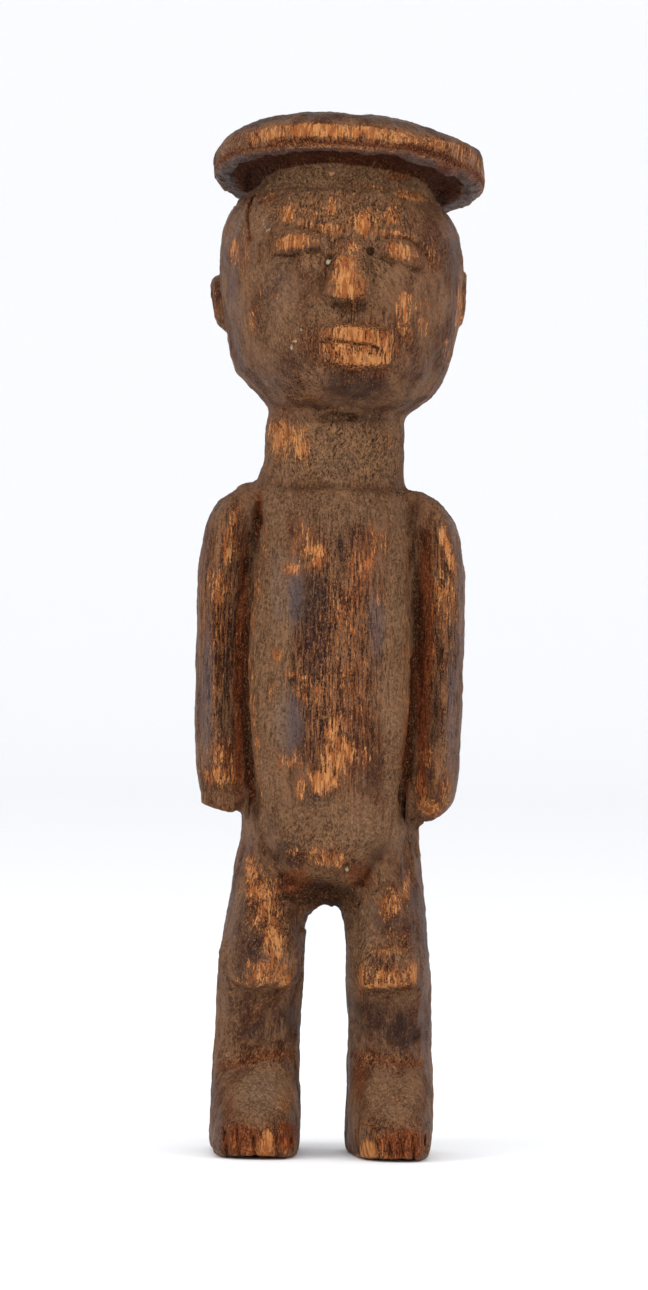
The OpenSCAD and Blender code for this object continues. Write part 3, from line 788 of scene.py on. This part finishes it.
        (-17.6, 100, 0.8, 20, 0, 0.5), (-16.6, 3.8, 4.4, 3.4, 0, 0.9), (-8, 4.4, 2.4, 3, 0, 1),
        (15, 3.6, 5, 3.4, 0, 0.9), (-19.4, 10, 1.4, 6, 0, 0.5), (4.6, 117, 3, 9, 0, 0.5),
        (4, 92, 4, 9, 0, 0.5), (-18.8, 96, 1.6, 28, 0, 0.9), (17.6, 98, 1.8, 28, 0, 0.9),
        (19, 24, 1.2, 8, 0, 0.4), (6, 16, 2, 6, 0, 0.6), (-2.6, 66, 5, 3, 0, 0.3),
        (20.4, 196, 3, 2, 0, 0.7), (10.4, 194.4, 3, 1.4, 0, 0.7),
    ],
    "grain": [
        (0, 102, 9, 26, 0, 1.3), (-22, 100, 6, 26, 0, 1), (20, 100, 6, 26, 0, 1),
        (1, 186, 14, 5, 0, 1), (3, 160, 9, 6, 0, 1), (-13, 100, 3, 30, 0, 0.4),
        (12, 3, 10, 5, 0, 1), (-13, 3, 10, 5, 0, 1),
    ],
    "coarse": [
        (0, 141, 16, 6.6, 0, 0.85), (0, 187, 17, 5, 0, 0.6), (0, 193.6, 20, 2, 0, 0.6),
        (5.6, 175, 2.6, 5, 0, 1), (-3.4, 177, 1.6, 4, 0, 0.8), (1, 167, 6, 2.4, 0, 1),
        (2.8, 160, 9, 6, 0, 1), (-8, 153, 5, 3, 20, 0.9), (-21.4, 102, 4.6, 28, 0, 0.8),
        (20, 102, 4.6, 28, 0, 0.8), (0, 101, 7.6, 24, 0, 1), (-12.4, 46, 5, 11, 8, 1),
        (11.6, 38, 6.6, 5, 0, 0.9), (-13, 19, 9, 2, 0, 0.9), (12, 19.4, 9, 2, 0, 0.9),
        (-1, 53, 9, 3.6, 0, 0.8), (-13, 3.6, 9, 4.6, 0, 0.8), (12, 3.6, 9, 4.6, 0, 0.8),
        (1, 179, 15, 3.4, 0, 0.7), (-2, 60, 7, 4, 0, 0.8),
    ],
    "chalk": [
        (-2.9, 176.8, 0.4, 0.8, -25, 1.2), (-16, 184.4, 0.5, 2, 20, 0.48),
        (-15, 182.8, 0.4, 1.2, -40, 0.48), (-9.9, 159.7, 0.3, 0.6, 0, 0.8),
        (-9.3, 160.9, 0.6, 0.3, 0, 0.7), (-8, 163.2, 0.3, 0.4, 0, 0.7),
        (-2.6, 194.4, 0.6, 0.3, 0, 0.7), (3, 57.2, 0.4, 0.4, 0, 0.8),
    ],
}


def patches(x, z, places):
    """The strongest of the places at each point, each fading out over its size."""
    best = np.zeros(len(x))
    for px, pz, wide, high, turn, strength in places:
        reach = 1.8 * max(wide, high)
        near = np.where((np.abs(x - px) < reach) & (np.abs(z - pz) < reach))[0]
        r = oval(x[near], z[near], (px, pz), (wide, high), turn)
        best[near] = np.maximum(best[near], strength * ramp(r, 1.7, 0.35))
    return best


def most(*shares):
    """The highest of several shares at each point."""
    return np.maximum.reduce(shares)


def cap_zones(points, normals, front):
    """The parts of the cap that wear in their own ways, and where shade and highlight are
    painted.
    """
    x, y, z = points.T
    away = np.hypot(x - CAP_MID[0], y - CAP_MID[1])
    height = z - cap_bottom(x, y)
    cap = SimpleNamespace()
    cap.top = ramp(height, 4.6, 6.6) * ramp(z, 190, 194)
    cap.rim = ramp(away, CAP_R - 3.0, CAP_R - 1.8) * ramp(height, -0.3, 0.3)
    cap.rim *= ramp(height, 5.6, 4.2)
    # The rim's lower edge, where it turns under: it gets painted shade and a painted highlight.
    cap.bevel = ramp(away, CAP_R - 5.5, CAP_R - 4) * ramp(height, 1.6, 0.4)
    cap.bevel *= ramp(height, -3, -1.5) * ramp(normals[:, 2], -0.2, -0.6)
    # The head's wall just under the cap, where pale dust is painted as light over the cap's
    # shadow.
    cap.wall = front * ramp(z, 186, 189) * ramp(away, 19.5, 18.5) * ramp(height, -0.3, -1.2)
    # The rough underside, less its bevel and wall: it is darkened as painted shade.
    cap.under = ramp(height, 2.6, 1.4) * ramp(height, -2.6, -0.8) * ramp(away, 14, 18)
    cap.under *= ramp(normals[:, 2], 0.1, -0.4) * (1 - 0.8 * cap.wall) * (1 - 0.8 * cap.bevel)
    return cap


# How bright the cap's rim is worn along its front, by x.
RIM_BRIGHT = [
    (-27, 0.3), (-20, 0.4), (-17, 0.85), (-8, 1.2), (6, 1.1), (14, 0.85), (27, 0.7),
]
RIM_BACK = 0.6


def worn_edges(points, rim, front):
    """Bare wood on the cap's rim, the tip of the nose and the feet's lower edge."""
    x, y, z = points.T
    bright = np.where(y < 5, np.interp(x, *zip(*RIM_BRIGHT)), RIM_BACK)
    ring = np.abs(oval(x, z, (0.9, 172.8), (1.0, 1.7)) - 1)
    edge = ramp(z, 1.3, 0.6) * ramp(layered(points, (2, 2, 2), 2, 91), -0.6, 0.3)
    return most(rim * bright, 1.5 * front * ramp(ring, 0.45, 0.1), 0.95 * edge * front)


def rubbed(points, normals, dust):
    """Painted highlight on the sides that face left or right, in streaks along the grain, and on
    the jaw.
    """
    x, _, z = points.T
    sides = ramp(np.abs(normals[:, 0]), 0.35, 0.8) * (1 - 0.6 * dust)
    sides *= 0.45 + 0.4 * ramp(layered(points, (3, 3, 30), 1, SEED + 60), -0.2, 0.5)
    jaw = 0.5 * ramp(z, 150, 153) * ramp(z, 164, 158) * ramp(np.abs(x), 9, 14)
    return most(sides, jaw)


def scraped(points, normals, hollow):
    """Red-brown by spots in the hollows, and in the cuts at the ankles: a red-brown stain with
    painted shade in these recesses.
    """
    x, _, z = points.T
    spots = ramp(layered(points, (5, 5, 8), 2, 77), -0.2, 0.6)
    ankles = np.minimum(line(x, z, ANKLE_RIGHT), line(x, z, ANKLE_LEFT))
    ankles = ramp(normals[:, 1], -0.1, -0.7) * ramp(ankles, 2.6, 0.2)
    return most(0.8 * ramp(hollow, 0.15, 0.5) * spots, 0.6 * ankles)


def wear_of(points, normals, field):
    """What handling has done at each point of the skin, and where shade and highlight are
    painted, a column for each kind.
    """
    x, _, z = points.T
    front = ramp(normals[:, 1], 0.25, -0.25)
    back = 1 - front
    cap = cap_zones(points, normals, front)
    fine = field.sample(points, box_blur(field.values, 2, 3))
    wide = field.sample(points, box_blur(field.values, 9, 3))
    proud = ramp(fine, 0.08, 0.5)
    # hollow: how deep a point lies in a recess. It darkens the colour as painted shade, less on
    # the wall under the cap, and gathers dust.
    hollow = ramp(-fine, 0.02, 0.5) * 0.6 + ramp(-wide, 0.2, 2.2) * 0.7
    hollow *= 1 - 0.75 * cap.wall
    roam = layered(points, (9, 9, 16), 2, SEED + 40)
    sole = ramp(z, 0.5, 0.1) * ramp(normals[:, 2], -0.4, -0.9)

    w = SimpleNamespace(**{kind: front * patches(x, z, PLACES[kind]) for kind in WEAR})
    w.grain = np.minimum(w.grain, front)
    # Painted light: pale dust on the wall under the cap lifts the cap's shadow.
    w.dust = most(w.dust, 0.8 * back * ramp(roam, 0.4, -0.9), 0.5 * hollow, cap.wall)
    # Painted highlight: a pale sheen on the sides, the jaw, the cap's lower rim edge and the
    # cap's top.
    w.polish = most(rubbed(points, normals, w.dust), w.polish)
    w.polish *= (1 - cap.under) * (1 - hollow)
    w.polish = most(w.polish, 0.9 * cap.bevel, 0.6 * cap.top * ramp(roam, -0.3, 0.8))
    # Painted shade: dark grime colour in the hollows and under the cap.
    w.grime = most(w.grime, np.clip(hollow + 0.8 * cap.under, 0, 1))
    # Painted shade: red-brown in the hollows and under the cap, over the red-brown stain.
    w.red = most(w.red, scraped(points, normals, hollow), 1.1 * cap.under)
    w.coarse = most(w.coarse, 0.6 * back * ramp(roam, -0.6, 0.6), cap.rim, 0.8 * hollow)
    # The cap's top is dark wood; its lower rim edge is darkened as painted shade.
    w.dark = most(w.dark, 0.7 * cap.top, 0.7 * cap.bevel)
    # Backs and sides are handled too: edges wear first.
    w.bare = most(w.bare, worn_edges(points, cap.rim, front), 0.55 * proud)
    w.bare = most(w.bare, back * (0.35 * proud + 0.42 * ramp(roam, 0.3, 1.1)))
    w.bare *= (1 - 0.85 * cap.top) * (1 - cap.under) * (1 - 0.8 * w.grime) * (1 - sole)
    w.dust *= (1 - 0.5 * cap.top) * (1 - 0.9 * cap.under)
    return np.stack([getattr(w, kind) for kind in WEAR], axis=1)


def roughened(points, normals, wear):
    """Moves the skin by the grain, the crust in the hollows and small dents."""
    share = dict(zip(WEAR, wear.T))
    x, y, z = points.T
    grain = layered(points, (1.0, 1.0, 11.0), 2, SEED)
    crust = layered(points, (1.1, 1.1, 1.3), 2, SEED + 5)
    waves = layered(points, (7.0, 7.0, 12.0), 2, SEED + 9)
    lumps = layered(points, (3.0, 3.0, 4.5), 2, SEED + 12)
    move = 0.11 * grain + 0.16 * waves + 0.08 * lumps - 0.06 * share["bare"]
    move += 0.09 * crust * (1 + 1.2 * share["grime"] + share["dust"])
    # The wood just under the cap is left rough, and the soles stay flat.
    move += 0.22 * crust * ramp(z - cap_bottom(x, y), 1.0, -0.4) * ramp(z, 186, 189)
    move *= ramp(z, 0.0, 0.8)
    return points + normals * move[:, None]


def make_skin():
    """The figure's whole skin: points, normals, wear with painted shade and highlight, triangles
    and which are inner walls.
    """
    field = make_field()
    points, quads = field.surface()
    triangles = triangles_of(quads)
    normals = vertex_normals(points, triangles)
    if np.sum(normals[:, 2] * (points[:, 2] - 100)) < 0:
        triangles = triangles[:, ::-1]
        normals = -normals
    wear = wear_of(points, normals, field)
    points = roughened(points, normals, wear)
    points[:, 2] = np.maximum(points[:, 2], 0.0)
    normals = vertex_normals(points, triangles)
    inner = np.zeros(len(triangles), bool)
    return {"points": points, "normals": normals, "wear": wear, "tris": triangles, "inner": inner}


# ---- Dividing the skin at the nodes' borders ----


def compact(skin):
    """A skin without the points that no triangle uses."""
    used, tris = np.unique(skin["tris"], return_inverse=True)
    return {
        "points": skin["points"][used], "normals": skin["normals"][used],
        "wear": skin["wear"][used], "tris": tris.reshape(-1, 3), "inner": skin["inner"],
    }


def outline_loops(tris):
    """The closed loops of vertices round the open edges."""
    edges = np.concatenate([tris[:, [0, 1]], tris[:, [1, 2]], tris[:, [2, 0]]])
    size = int(tris.max()) + 1
    keys = edges[:, 0] * size + edges[:, 1]
    twins = edges[:, 1] * size + edges[:, 0]
    free = edges[~np.isin(keys, twins)]
    follow = {int(a): int(b) for a, b in free}
    loops = []
    while follow:
        start, step = follow.popitem()
        loop = [start]
        while step != start and step in follow:
            loop.append(step)
            step = follow.pop(step)
        loops.append(loop)
    return loops


def close(skin, push):
    """Fills every open loop with a fan round its centre, moved by push."""
    points, tris = skin["points"], skin["tris"]
    for loop in outline_loops(tris):
        index = len(points)
        points = np.vstack([points, points[loop].mean(0) + np.array(push)])
        loop = np.array(loop)
        fan = np.stack([np.roll(loop, -1), loop, np.full(len(loop), index)], axis=1)
        tris = np.vstack([tris, fan])
    added = len(points) - len(skin["points"])
    grown = len(tris) - len(skin["tris"])
    return {
        "points": points, "tris": tris,
        "normals": np.vstack([skin["normals"], np.tile([0.0, 0.0, 1.0], (added, 1))]),
        "wear": np.vstack([skin["wear"], np.zeros((added, len(WEAR)))]),
        "inner": np.concatenate([skin["inner"], np.ones(grown, bool)]),
    }


def divide(skin, side_of, push=(0, 0, 0)):
    """Cuts a closed skin where side_of is 0, and closes both halves on one shared wall.

    The wall's middle is moved by push. The half where side_of is below 0 comes first.
    """
    f = side_of(*skin["points"].T)
    f = np.where(np.abs(f) < 1e-5, 1e-5, f)
    tris = skin["tris"]
    below = f[tris] < 0
    count = below.sum(1)
    # Each crossed triangle has one corner alone on its side, a, and two others, b and c.
    split = np.where((count == 1) | (count == 2))[0]
    lone = below[split] == (count[split] == 1)[:, None]
    k = lone.argmax(1)
    a, b, c = (tris[split, (k + i) % 3] for i in range(3))
    # The new points on its edges a to b and a to c are made once for both neighbours.
    n = len(f)
    ends = np.concatenate([np.stack([a, b], 1), np.stack([a, c], 1)])
    low, high = ends.min(1), ends.max(1)
    keys, index = np.unique(low * n + high, return_inverse=True)
    low, high = keys // n, keys % n
    t = (f[low] / (f[low] - f[high]))[:, None]
    ab, ac = index.reshape(-1)[: len(a)] + n, index.reshape(-1)[len(a):] + n
    whole = {
        name: np.vstack([skin[name], skin[name][low] * (1 - t) + skin[name][high] * t])
        for name in ("points", "normals", "wear")
    }
    # It becomes one triangle on a's side and two on the other.
    alone = np.stack([a, ab, ac], 1)
    pair = np.concatenate([np.stack([ab, b, c], 1), np.stack([ab, c, ac], 1)])
    inner = skin["inner"]
    lone_low = count[split] == 1
    twice = np.concatenate([split, split])
    halves = []
    for is_low in (True, False):
        mine = count == (3 if is_low else 0)
        one = lone_low == is_low
        two = np.concatenate([~one, ~one])
        half = dict(whole)
        half["tris"] = np.concatenate([tris[mine], alone[one], pair[two]])
        half["inner"] = np.concatenate([inner[mine], inner[split[one]], inner[twice[two]]])
        halves.append(close(compact(half), push))
    return halves


def on_front(outline):
    """A border that only cuts the front of the head."""
    return lambda x, y, z: np.where(y < -8, outline(x, z), 9.0)


def fold(x, y, z):
    """Below the belly's fold, where the legs begin."""
    return z - HIP_Z - GROIN_RISE * np.abs(x - AXIS_X)


def arm_border(side, places, tip):
    """Beyond the groove beside an arm, from its tip up to the shoulder."""
    zs, xs = zip(*places)

    def border(x, y, z):
        beyond = side * (np.interp(z, zs, xs) - x)
        return np.maximum(np.maximum(beyond, tip - z), z - COLLAR_Z - 0.5)

    return border


def ear_border(side, high):
    """Inside an ear's groove, on the outer side of the head."""
    def border(x, y, z):
        return np.maximum(3.0 * (ear_rim(y, z, high) - 1.25), 18.5 - side * x)

    return border


def divided(skin):
    """The skin's pieces, named as the CAD nodes that they stand for."""
    made = {}
    rest, made["cap"] = divide(skin, lambda x, y, z: z - cap_bottom(x, y) + 0.9)
    rest, head = divide(rest, lambda x, y, z: z - JAW_Z)
    rest, made["neck"] = divide(rest, lambda x, y, z: z - COLLAR_Z - 0.8)
    made["arm_right"], rest = divide(rest, arm_border(-1, GROOVE_RIGHT, 66.5))
    made["arm_left"], rest = divide(rest, arm_border(1, GROOVE_LEFT, 65.0))
    legs, made["torso"] = divide(rest, fold)
    for side, leg in zip(("right", "left"), divide(legs, lambda x, y, z: x - AXIS_X)):
        made["foot_" + side], made["leg_" + side] = divide(leg, lambda x, y, z: z - ANKLE_Z)
    into = (0, 1.6, 0)
    made["nose"], head = divide(
        head, on_front(lambda x, z: slab(x, z, (NOSE_X, 174.6), (4.9, 6.2), 0, 1.2)), into
    )
    made["mouth"], head = divide(
        head, on_front(lambda x, z: slab(x, z, MOUTH, (7.4, 4.9), MOUTH_TURN, 1.8)), into
    )
    for name, place, turn in (("right", EYE_RIGHT, 5), ("left", EYE_LEFT, -20)):
        border = on_front(
            lambda x, z: 2.0 * (almond(x, z, place, EYE_SIZE, turn, 1.7) - 1.25)
        )
        made["eye_" + name], head = divide(head, border, into)
    for name, side, high, _ in EARS:
        push = (-side * 1.2, 0, 0)
        made["ear_" + name], head = divide(head, ear_border(side, high), push)
    made["head"] = head
    return made


def linked(name, data):
    """A new object in the scene."""
    thing = bpy.data.objects.new(name, data)
    bpy.context.scene.collection.objects.link(thing)
    return thing


def unit(vectors):
    """The same directions, with a length of 1."""
    return vectors / (np.linalg.norm(vectors, axis=-1, keepdims=True) + 1e-12)


def make_piece(node, skin, material):
    """A mesh with its wear and painted shade and highlight, smooth outside and flat on its inner
    walls.
    """
    mesh = bpy.data.meshes.new("wood_" + node)
    mesh.from_pydata((skin["points"] * METRE).tolist(), [], skin["tris"].tolist())
    for kind, share in zip(WEAR, skin["wear"].T):
        layer = mesh.attributes.new(kind, "FLOAT", "POINT")
        layer.data.foreach_set("value", share.astype(np.float32))
    a, b, c = (skin["points"][skin["tris"][:, k]] for k in range(3))
    flat = unit(np.cross(b - a, c - a))
    loops = skin["normals"][skin["tris"]]
    loops[skin["inner"]] = flat[skin["inner"]][:, None, :]
    mesh.polygons.foreach_set("use_smooth", [True] * len(mesh.polygons))
    mesh.normals_split_custom_set(unit(loops.reshape(-1, 3)).tolist())
    mesh.materials.append(material)
    piece = linked("wood_" + node, mesh)
    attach(piece, "root")
    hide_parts(node)


# ---- The wood ----


def srgb(red, green, blue):
    """A colour as it looks on screen, from 0 to 255, for a shader."""
    out = []
    for value in (red, green, blue):
        v = value / 255
        out.append(v / 12.92 if v <= 0.04045 else ((v + 0.055) / 1.055) ** 2.4)
    return (*out, 1.0)


class Value:
    """A number or colour in the shader that plain arithmetic can be done with."""

    def __init__(self, nodes, socket):
        self.nodes = nodes
        self.socket = socket

    def __add__(self, other):
        return self.nodes.math("ADD", self, other)

    def __sub__(self, other):
        return self.nodes.math("SUBTRACT", self, other)

    def __rsub__(self, other):
        return self.nodes.math("SUBTRACT", other, self)

    def __mul__(self, other):
        return self.nodes.math("MULTIPLY", self, other)

    __radd__ = __add__
    __rmul__ = __mul__

    def ramp(self, low, high):
        """0 below low and 1 above high, or the other way round."""
        node = self.nodes.add("ShaderNodeMapRange", Value=self, From_Min=low, From_Max=high)
        node.interpolation_type = "SMOOTHSTEP"
        return Value(self.nodes, node.outputs["Result"])


class Nodes:
    """Short ways to add shader nodes."""

    def __init__(self, material):
        self.tree = material.node_tree

    def put(self, socket, value):
        """Links a value to a socket, or sets a plain number or colour on it."""
        value = getattr(value, "socket", value)
        if isinstance(value, bpy.types.NodeSocket):
            self.tree.links.new(value, socket)
        else:
            socket.default_value = value

    def add(self, kind, **sockets):
        """A new node, its sockets set by name."""
        node = self.tree.nodes.new(kind)
        for name, value in sockets.items():
            self.put(node.inputs[name.replace("_", " ")], value)
        return node

    def math(self, operation, *values):
        node = self.add("ShaderNodeMath")
        node.operation = operation
        for socket, value in zip(node.inputs, values):
            self.put(socket, value)
        return Value(self, node.outputs[0])

    def attribute(self, name):
        node = self.add("ShaderNodeAttribute")
        node.attribute_name = name
        return Value(self, node.outputs["Fac"])

    def noise(self, where, scale, stretch, detail, rough, turn=0):
        """Noise from 0 to 1, with scale cells for each mm, turned by some degrees."""
        mapping = self.add("ShaderNodeMapping", Vector=where)
        sizes = [scale * s / METRE for s in stretch]
        if turn:
            mapping.vector_type = "TEXTURE"
            mapping.inputs["Rotation"].default_value = (0, math.radians(turn), 0)
            sizes = [1 / size for size in sizes]
        mapping.inputs["Scale"].default_value = sizes
        node = self.add(
            "ShaderNodeTexNoise",
            Vector=mapping.outputs[0], Scale=1.0, Detail=detail, Roughness=rough,
        )
        return Value(self, node.outputs["Fac"])

    def mix(self, share, a, b):
        """a where share is 0, and b where it is 1."""
        node = self.add("ShaderNodeMix")
        node.data_type = "RGBA"
        self.put(node.inputs["Factor"], share)
        for socket, value in zip([s for s in node.inputs if s.type == "RGBA"], (a, b)):
            self.put(socket, value)
        return Value(self, next(s for s in node.outputs if s.type == "RGBA"))

    def over(self, colour, *layers):
        """Colours laid over a first one, each by its own share."""
        for share, tone in layers:
            colour = self.mix(share, colour, tone)
        return colour


# The wood's noises: cells for each mm, stretch, detail, roughness and turn in degrees.
TEXTURES = {
    "fibre": (1.2, (1, 1, 0.13), 4.0, 0.65),
    "thread": (2.6, (1, 1, 0.12), 3.0, 0.7),
    "strand": (2.0, (1, 1, 0.045), 4.0, 0.75),
    "speck": (2.0, (1, 1, 0.8), 4.0, 0.8),
    "grit": (3.8, (1, 1, 0.5), 2.0, 0.8),
    "hatch": (2.3, (1, 1, 0.2), 3.0, 0.7, 38),
    "cross": (2.3, (1, 1, 0.2), 3.0, 0.7, -42),
    "mottle": (0.16, (1, 1, 0.6), 3.0, 0.6),
    "cloud": (0.35, (1, 1, 0.5), 4.0, 0.65),
}


def textures(n):
    """The noises and the mesh's kinds of wear and of painted shade and highlight, by name."""
    where = n.add("ShaderNodeTexCoord").outputs["Object"]
    t = SimpleNamespace(**{kind: n.attribute(kind) for kind in WEAR})
    for name, sizes in TEXTURES.items():
        setattr(t, name, n.noise(where, *sizes))
    t.busy = t.coarse * 0.48 + 0.42
    return t


def old_wood(n, t):
    """Old handled wood: brown, redder or darker by turns, with dark and light lines."""
    return n.over(
        n.mix(t.mottle.ramp(0.38, 0.62), srgb(92, 54, 36), srgb(152, 110, 80)),
        (t.fibre.ramp(0.5, 0.62) * t.busy, srgb(56, 30, 18)),
        (t.thread.ramp(0.5, 0.62) * t.busy, srgb(164, 112, 74)),
        (t.strand.ramp(0.51, 0.57) * (t.grain * 0.9), srgb(58, 28, 17)),
        (t.strand.ramp(0.47, 0.40) * (t.grain * 0.65), srgb(184, 112, 62)),
    )


def add_films(t):
    """Shares of soot and painted shade, of polish with a painted highlight, of dust with painted
    light under the cap, of red-brown with painted shade, and of grime with painted shade.
    """
    t.sooty = (t.dark * 0.6 + t.thread * 1.2 + t.cloud * 0.9).ramp(1.15, 1.7)
    t.sheen = (t.polish * 0.8 + (t.cloud * 0.8 + t.thread * 0.8)).ramp(0.95, 1.75)
    t.dusty = (t.dust + t.speck * 1.1).ramp(0.75, 1.35)
    t.rusty = (t.red + t.speck * 0.9).ramp(0.75, 1.3)
    t.black = (t.grime + t.speck * 0.5).ramp(0.5, 1.25)


def add_marks(n, t):
    """Shares of dark pores and scratches, and of pale grit, all over."""
    marks = n.mix(t.mottle.ramp(0.45, 0.55), t.hatch, t.cross)
    marks = n.mix(t.grain, marks, t.thread)
    t.pores = n.math("MAXIMUM", t.grit.ramp(0.44, 0.34), marks.ramp(0.45, 0.38))
    grains = n.math("MAXIMUM", t.grit.ramp(0.57, 0.66), marks.ramp(0.58, 0.66))
    calm = (t.black + t.sooty + t.sheen) * 0.3
    t.grains = n.math("MAXIMUM", grains * (t.busy - calm), 0.0)


def add_bare(t):
    """Shares of clear bare wood, in streaks along the grain, and of a halo round it."""
    streak = t.thread * 1.8 + t.grit * 0.8 + t.cloud * 0.7
    level = t.bare * 0.6 + streak
    t.halo = level.ramp(1.75, 2.2)
    t.clear = level.ramp(2.06, 2.26)


def wood_colour(n, t):
    """The wood's layers, from the old skin to the bare wood and the flecks on top."""
    # The painted highlight is bluer where the polish is strongest, and the dust has coarse
    # specks.
    shine = n.mix(t.polish.ramp(0.5, 1.0), srgb(134, 110, 92), srgb(130, 117, 117))
    brushed = n.mix(t.grain, t.speck, t.thread)
    powder = n.mix(brushed.ramp(0.38, 0.62), srgb(101, 70, 47), srgb(186, 144, 106))
    wood = n.mix(t.fibre.ramp(0.4, 0.6), srgb(240, 166, 100), srgb(186, 106, 54))
    wood = n.mix(t.red * 0.7, wood, srgb(180, 84, 36))
    fleck = (t.chalk + t.grit * 0.8).ramp(0.75, 1.1)
    return n.over(
        old_wood(n, t),
        # Soot, and painted shade on the cap's lower rim edge.
        (t.sooty * 0.85, srgb(52, 36, 35)),
        # Painted highlight: a bluish grey sheen over the polished places.
        (t.sheen * 0.5, shine),
        # Dust, and painted light on the wall under the cap.
        (t.dusty * 0.6, powder),
        # Red-brown stain, with painted shade in the hollows and under the cap.
        (t.rusty * 0.8, srgb(132, 57, 19)),
        # Painted shade: near-black brown in the hollows, creases and under the cap.
        (t.black * 0.78, srgb(48, 19, 5)),
        (t.pores * t.busy, srgb(38, 19, 9)),
        (t.grains, srgb(196, 140, 88)),
        (t.halo * 0.5, srgb(140, 78, 40)),
        (t.clear * 0.92, wood),
        (fleck * 0.9, srgb(216, 198, 172)),
    )


def make_wood():
    material = bpy.data.materials.new("carved_wood")
    material.use_nodes = True
    shader = material.node_tree.nodes["Principled BSDF"].inputs
    n = Nodes(material)
    t = textures(n)
    add_films(t)
    add_marks(n, t)
    add_bare(t)
    n.put(shader["Base Color"], wood_colour(n, t))
    rough = 0.55 - t.sheen * 0.15 + t.dusty * 0.28 - t.sooty * 0.14 + t.black * 0.25
    n.put(shader["Roughness"], rough)
    shader["Specular IOR Level"].default_value = 0.1
    lumps = t.fibre * 0.9 + t.thread * 0.5 + t.speck * 0.8 + t.grit * 0.8
    lumps = lumps - t.pores * 0.25 - t.clear * 0.1
    bump = n.add("ShaderNodeBump", Height=lumps, Distance=0.0013, Strength=1.0)
    n.put(shader["Normal"], bump.outputs[0])
    return material


def make_figure():
    material = make_wood()
    for node, skin in divided(make_skin()).items():
        make_piece(node, skin, material)


make_figure()

# ---- Floor, light and camera ----

CAMERA_AWAY = 1100.0
CAMERA_X = -2.4
CAMERA_Z = 101.5
CAMERA_ROLL = -1.1
SENSOR = 36
FRAME_HEIGHT = 258.0  # height of the picture at the figure, in mm


def flat_material(name, colour, roughness):
    material = bpy.data.materials.new(name)
    material.use_nodes = True
    shader = material.node_tree.nodes["Principled BSDF"]
    shader.inputs["Base Color"].default_value = colour
    shader.inputs["Roughness"].default_value = roughness
    return material


FLOOR_FLAT = 2600  # how far the floor runs flat, before it curves up
FLOOR_CURVE = 400  # the curve's radius
FLOOR_TOP = 950
FLOOR_SIDES = 96


def make_floor():
    """A round pale floor that curves up into a low wall, the same from every side."""
    rings = [(FLOOR_FLAT / 2, 0.0)]
    for a in np.radians(np.linspace(0, 90, 11)):
        rings.append((FLOOR_FLAT + FLOOR_CURVE * math.sin(a), FLOOR_CURVE * (1 - math.cos(a))))
    rings.append((FLOOR_FLAT + FLOOR_CURVE, FLOOR_TOP))
    turns = [2 * math.pi * k / FLOOR_SIDES for k in range(FLOOR_SIDES)]
    points = [
        (r * math.cos(a) * METRE, r * math.sin(a) * METRE, z * METRE)
        for r, z in rings for a in turns
    ]
    faces = [tuple(range(FLOOR_SIDES))]
    for start in range(0, len(points) - FLOOR_SIDES, FLOOR_SIDES):
        for k in range(FLOOR_SIDES):
            a, b = start + k, start + (k + 1) % FLOOR_SIDES
            faces.append((a, a + FLOOR_SIDES, b + FLOOR_SIDES, b))
    mesh = bpy.data.meshes.new("floor")
    mesh.from_pydata(points, [], faces)
    mesh.polygons.foreach_set("use_smooth", [True] * len(mesh.polygons))
    mesh.materials.append(flat_material("paper", (0.93, 0.935, 0.95, 1), 0.8))
    floor = linked("floor", mesh)


# The lamps: name, place and size in metres, and watts. All of them aim at one place.
LAMPS = [
    ("key", (-1.05, -0.75, 0.6), (0.6, 0.9), 8.5),
    ("fill", (1.1, -0.55, 0.4), (0.6, 0.9), 5.5),
    ("top", (0, -0.35, 1.1), (0.7, 0.7), 2),
]
LAMPS_AIM = (0, 0, 0.1)


def soft_box(name, place, size, watts):
    light = bpy.data.lights.new(name, "AREA")
    light.shape = "RECTANGLE"
    light.size, light.size_y = size
    light.energy = watts
    lamp = linked(name, light)
    lamp.location = place
    lamp.visible_camera = False
    aim = Vector(LAMPS_AIM) - Vector(place)
    lamp.rotation_euler = aim.to_track_quat("-Z", "Y").to_euler()


def make_lights():
    world = bpy.data.worlds.new("studio")
    world.use_nodes = True
    background = world.node_tree.nodes["Background"]
    background.inputs["Color"].default_value = (0.98, 0.985, 1.0, 1)
    background.inputs["Strength"].default_value = 1.0
    bpy.context.scene.world = world
    for lamp in LAMPS:
        soft_box(*lamp)


def make_camera():
    data = bpy.data.cameras.new("camera")
    data.sensor_width = SENSOR
    data.lens = SENSOR * CAMERA_AWAY / FRAME_HEIGHT
    data.clip_start = 0.05
    data.clip_end = 20
    camera = linked("camera", data)
    camera.location = (CAMERA_X * METRE, -CAMERA_AWAY * METRE, CAMERA_Z * METRE)
    camera.rotation_euler = (math.radians(90), math.radians(CAMERA_ROLL), 0)
    bpy.context.scene.camera = camera


make_floor()
make_lights()
make_camera()
bpy.context.scene.view_settings.view_transform = "Standard"
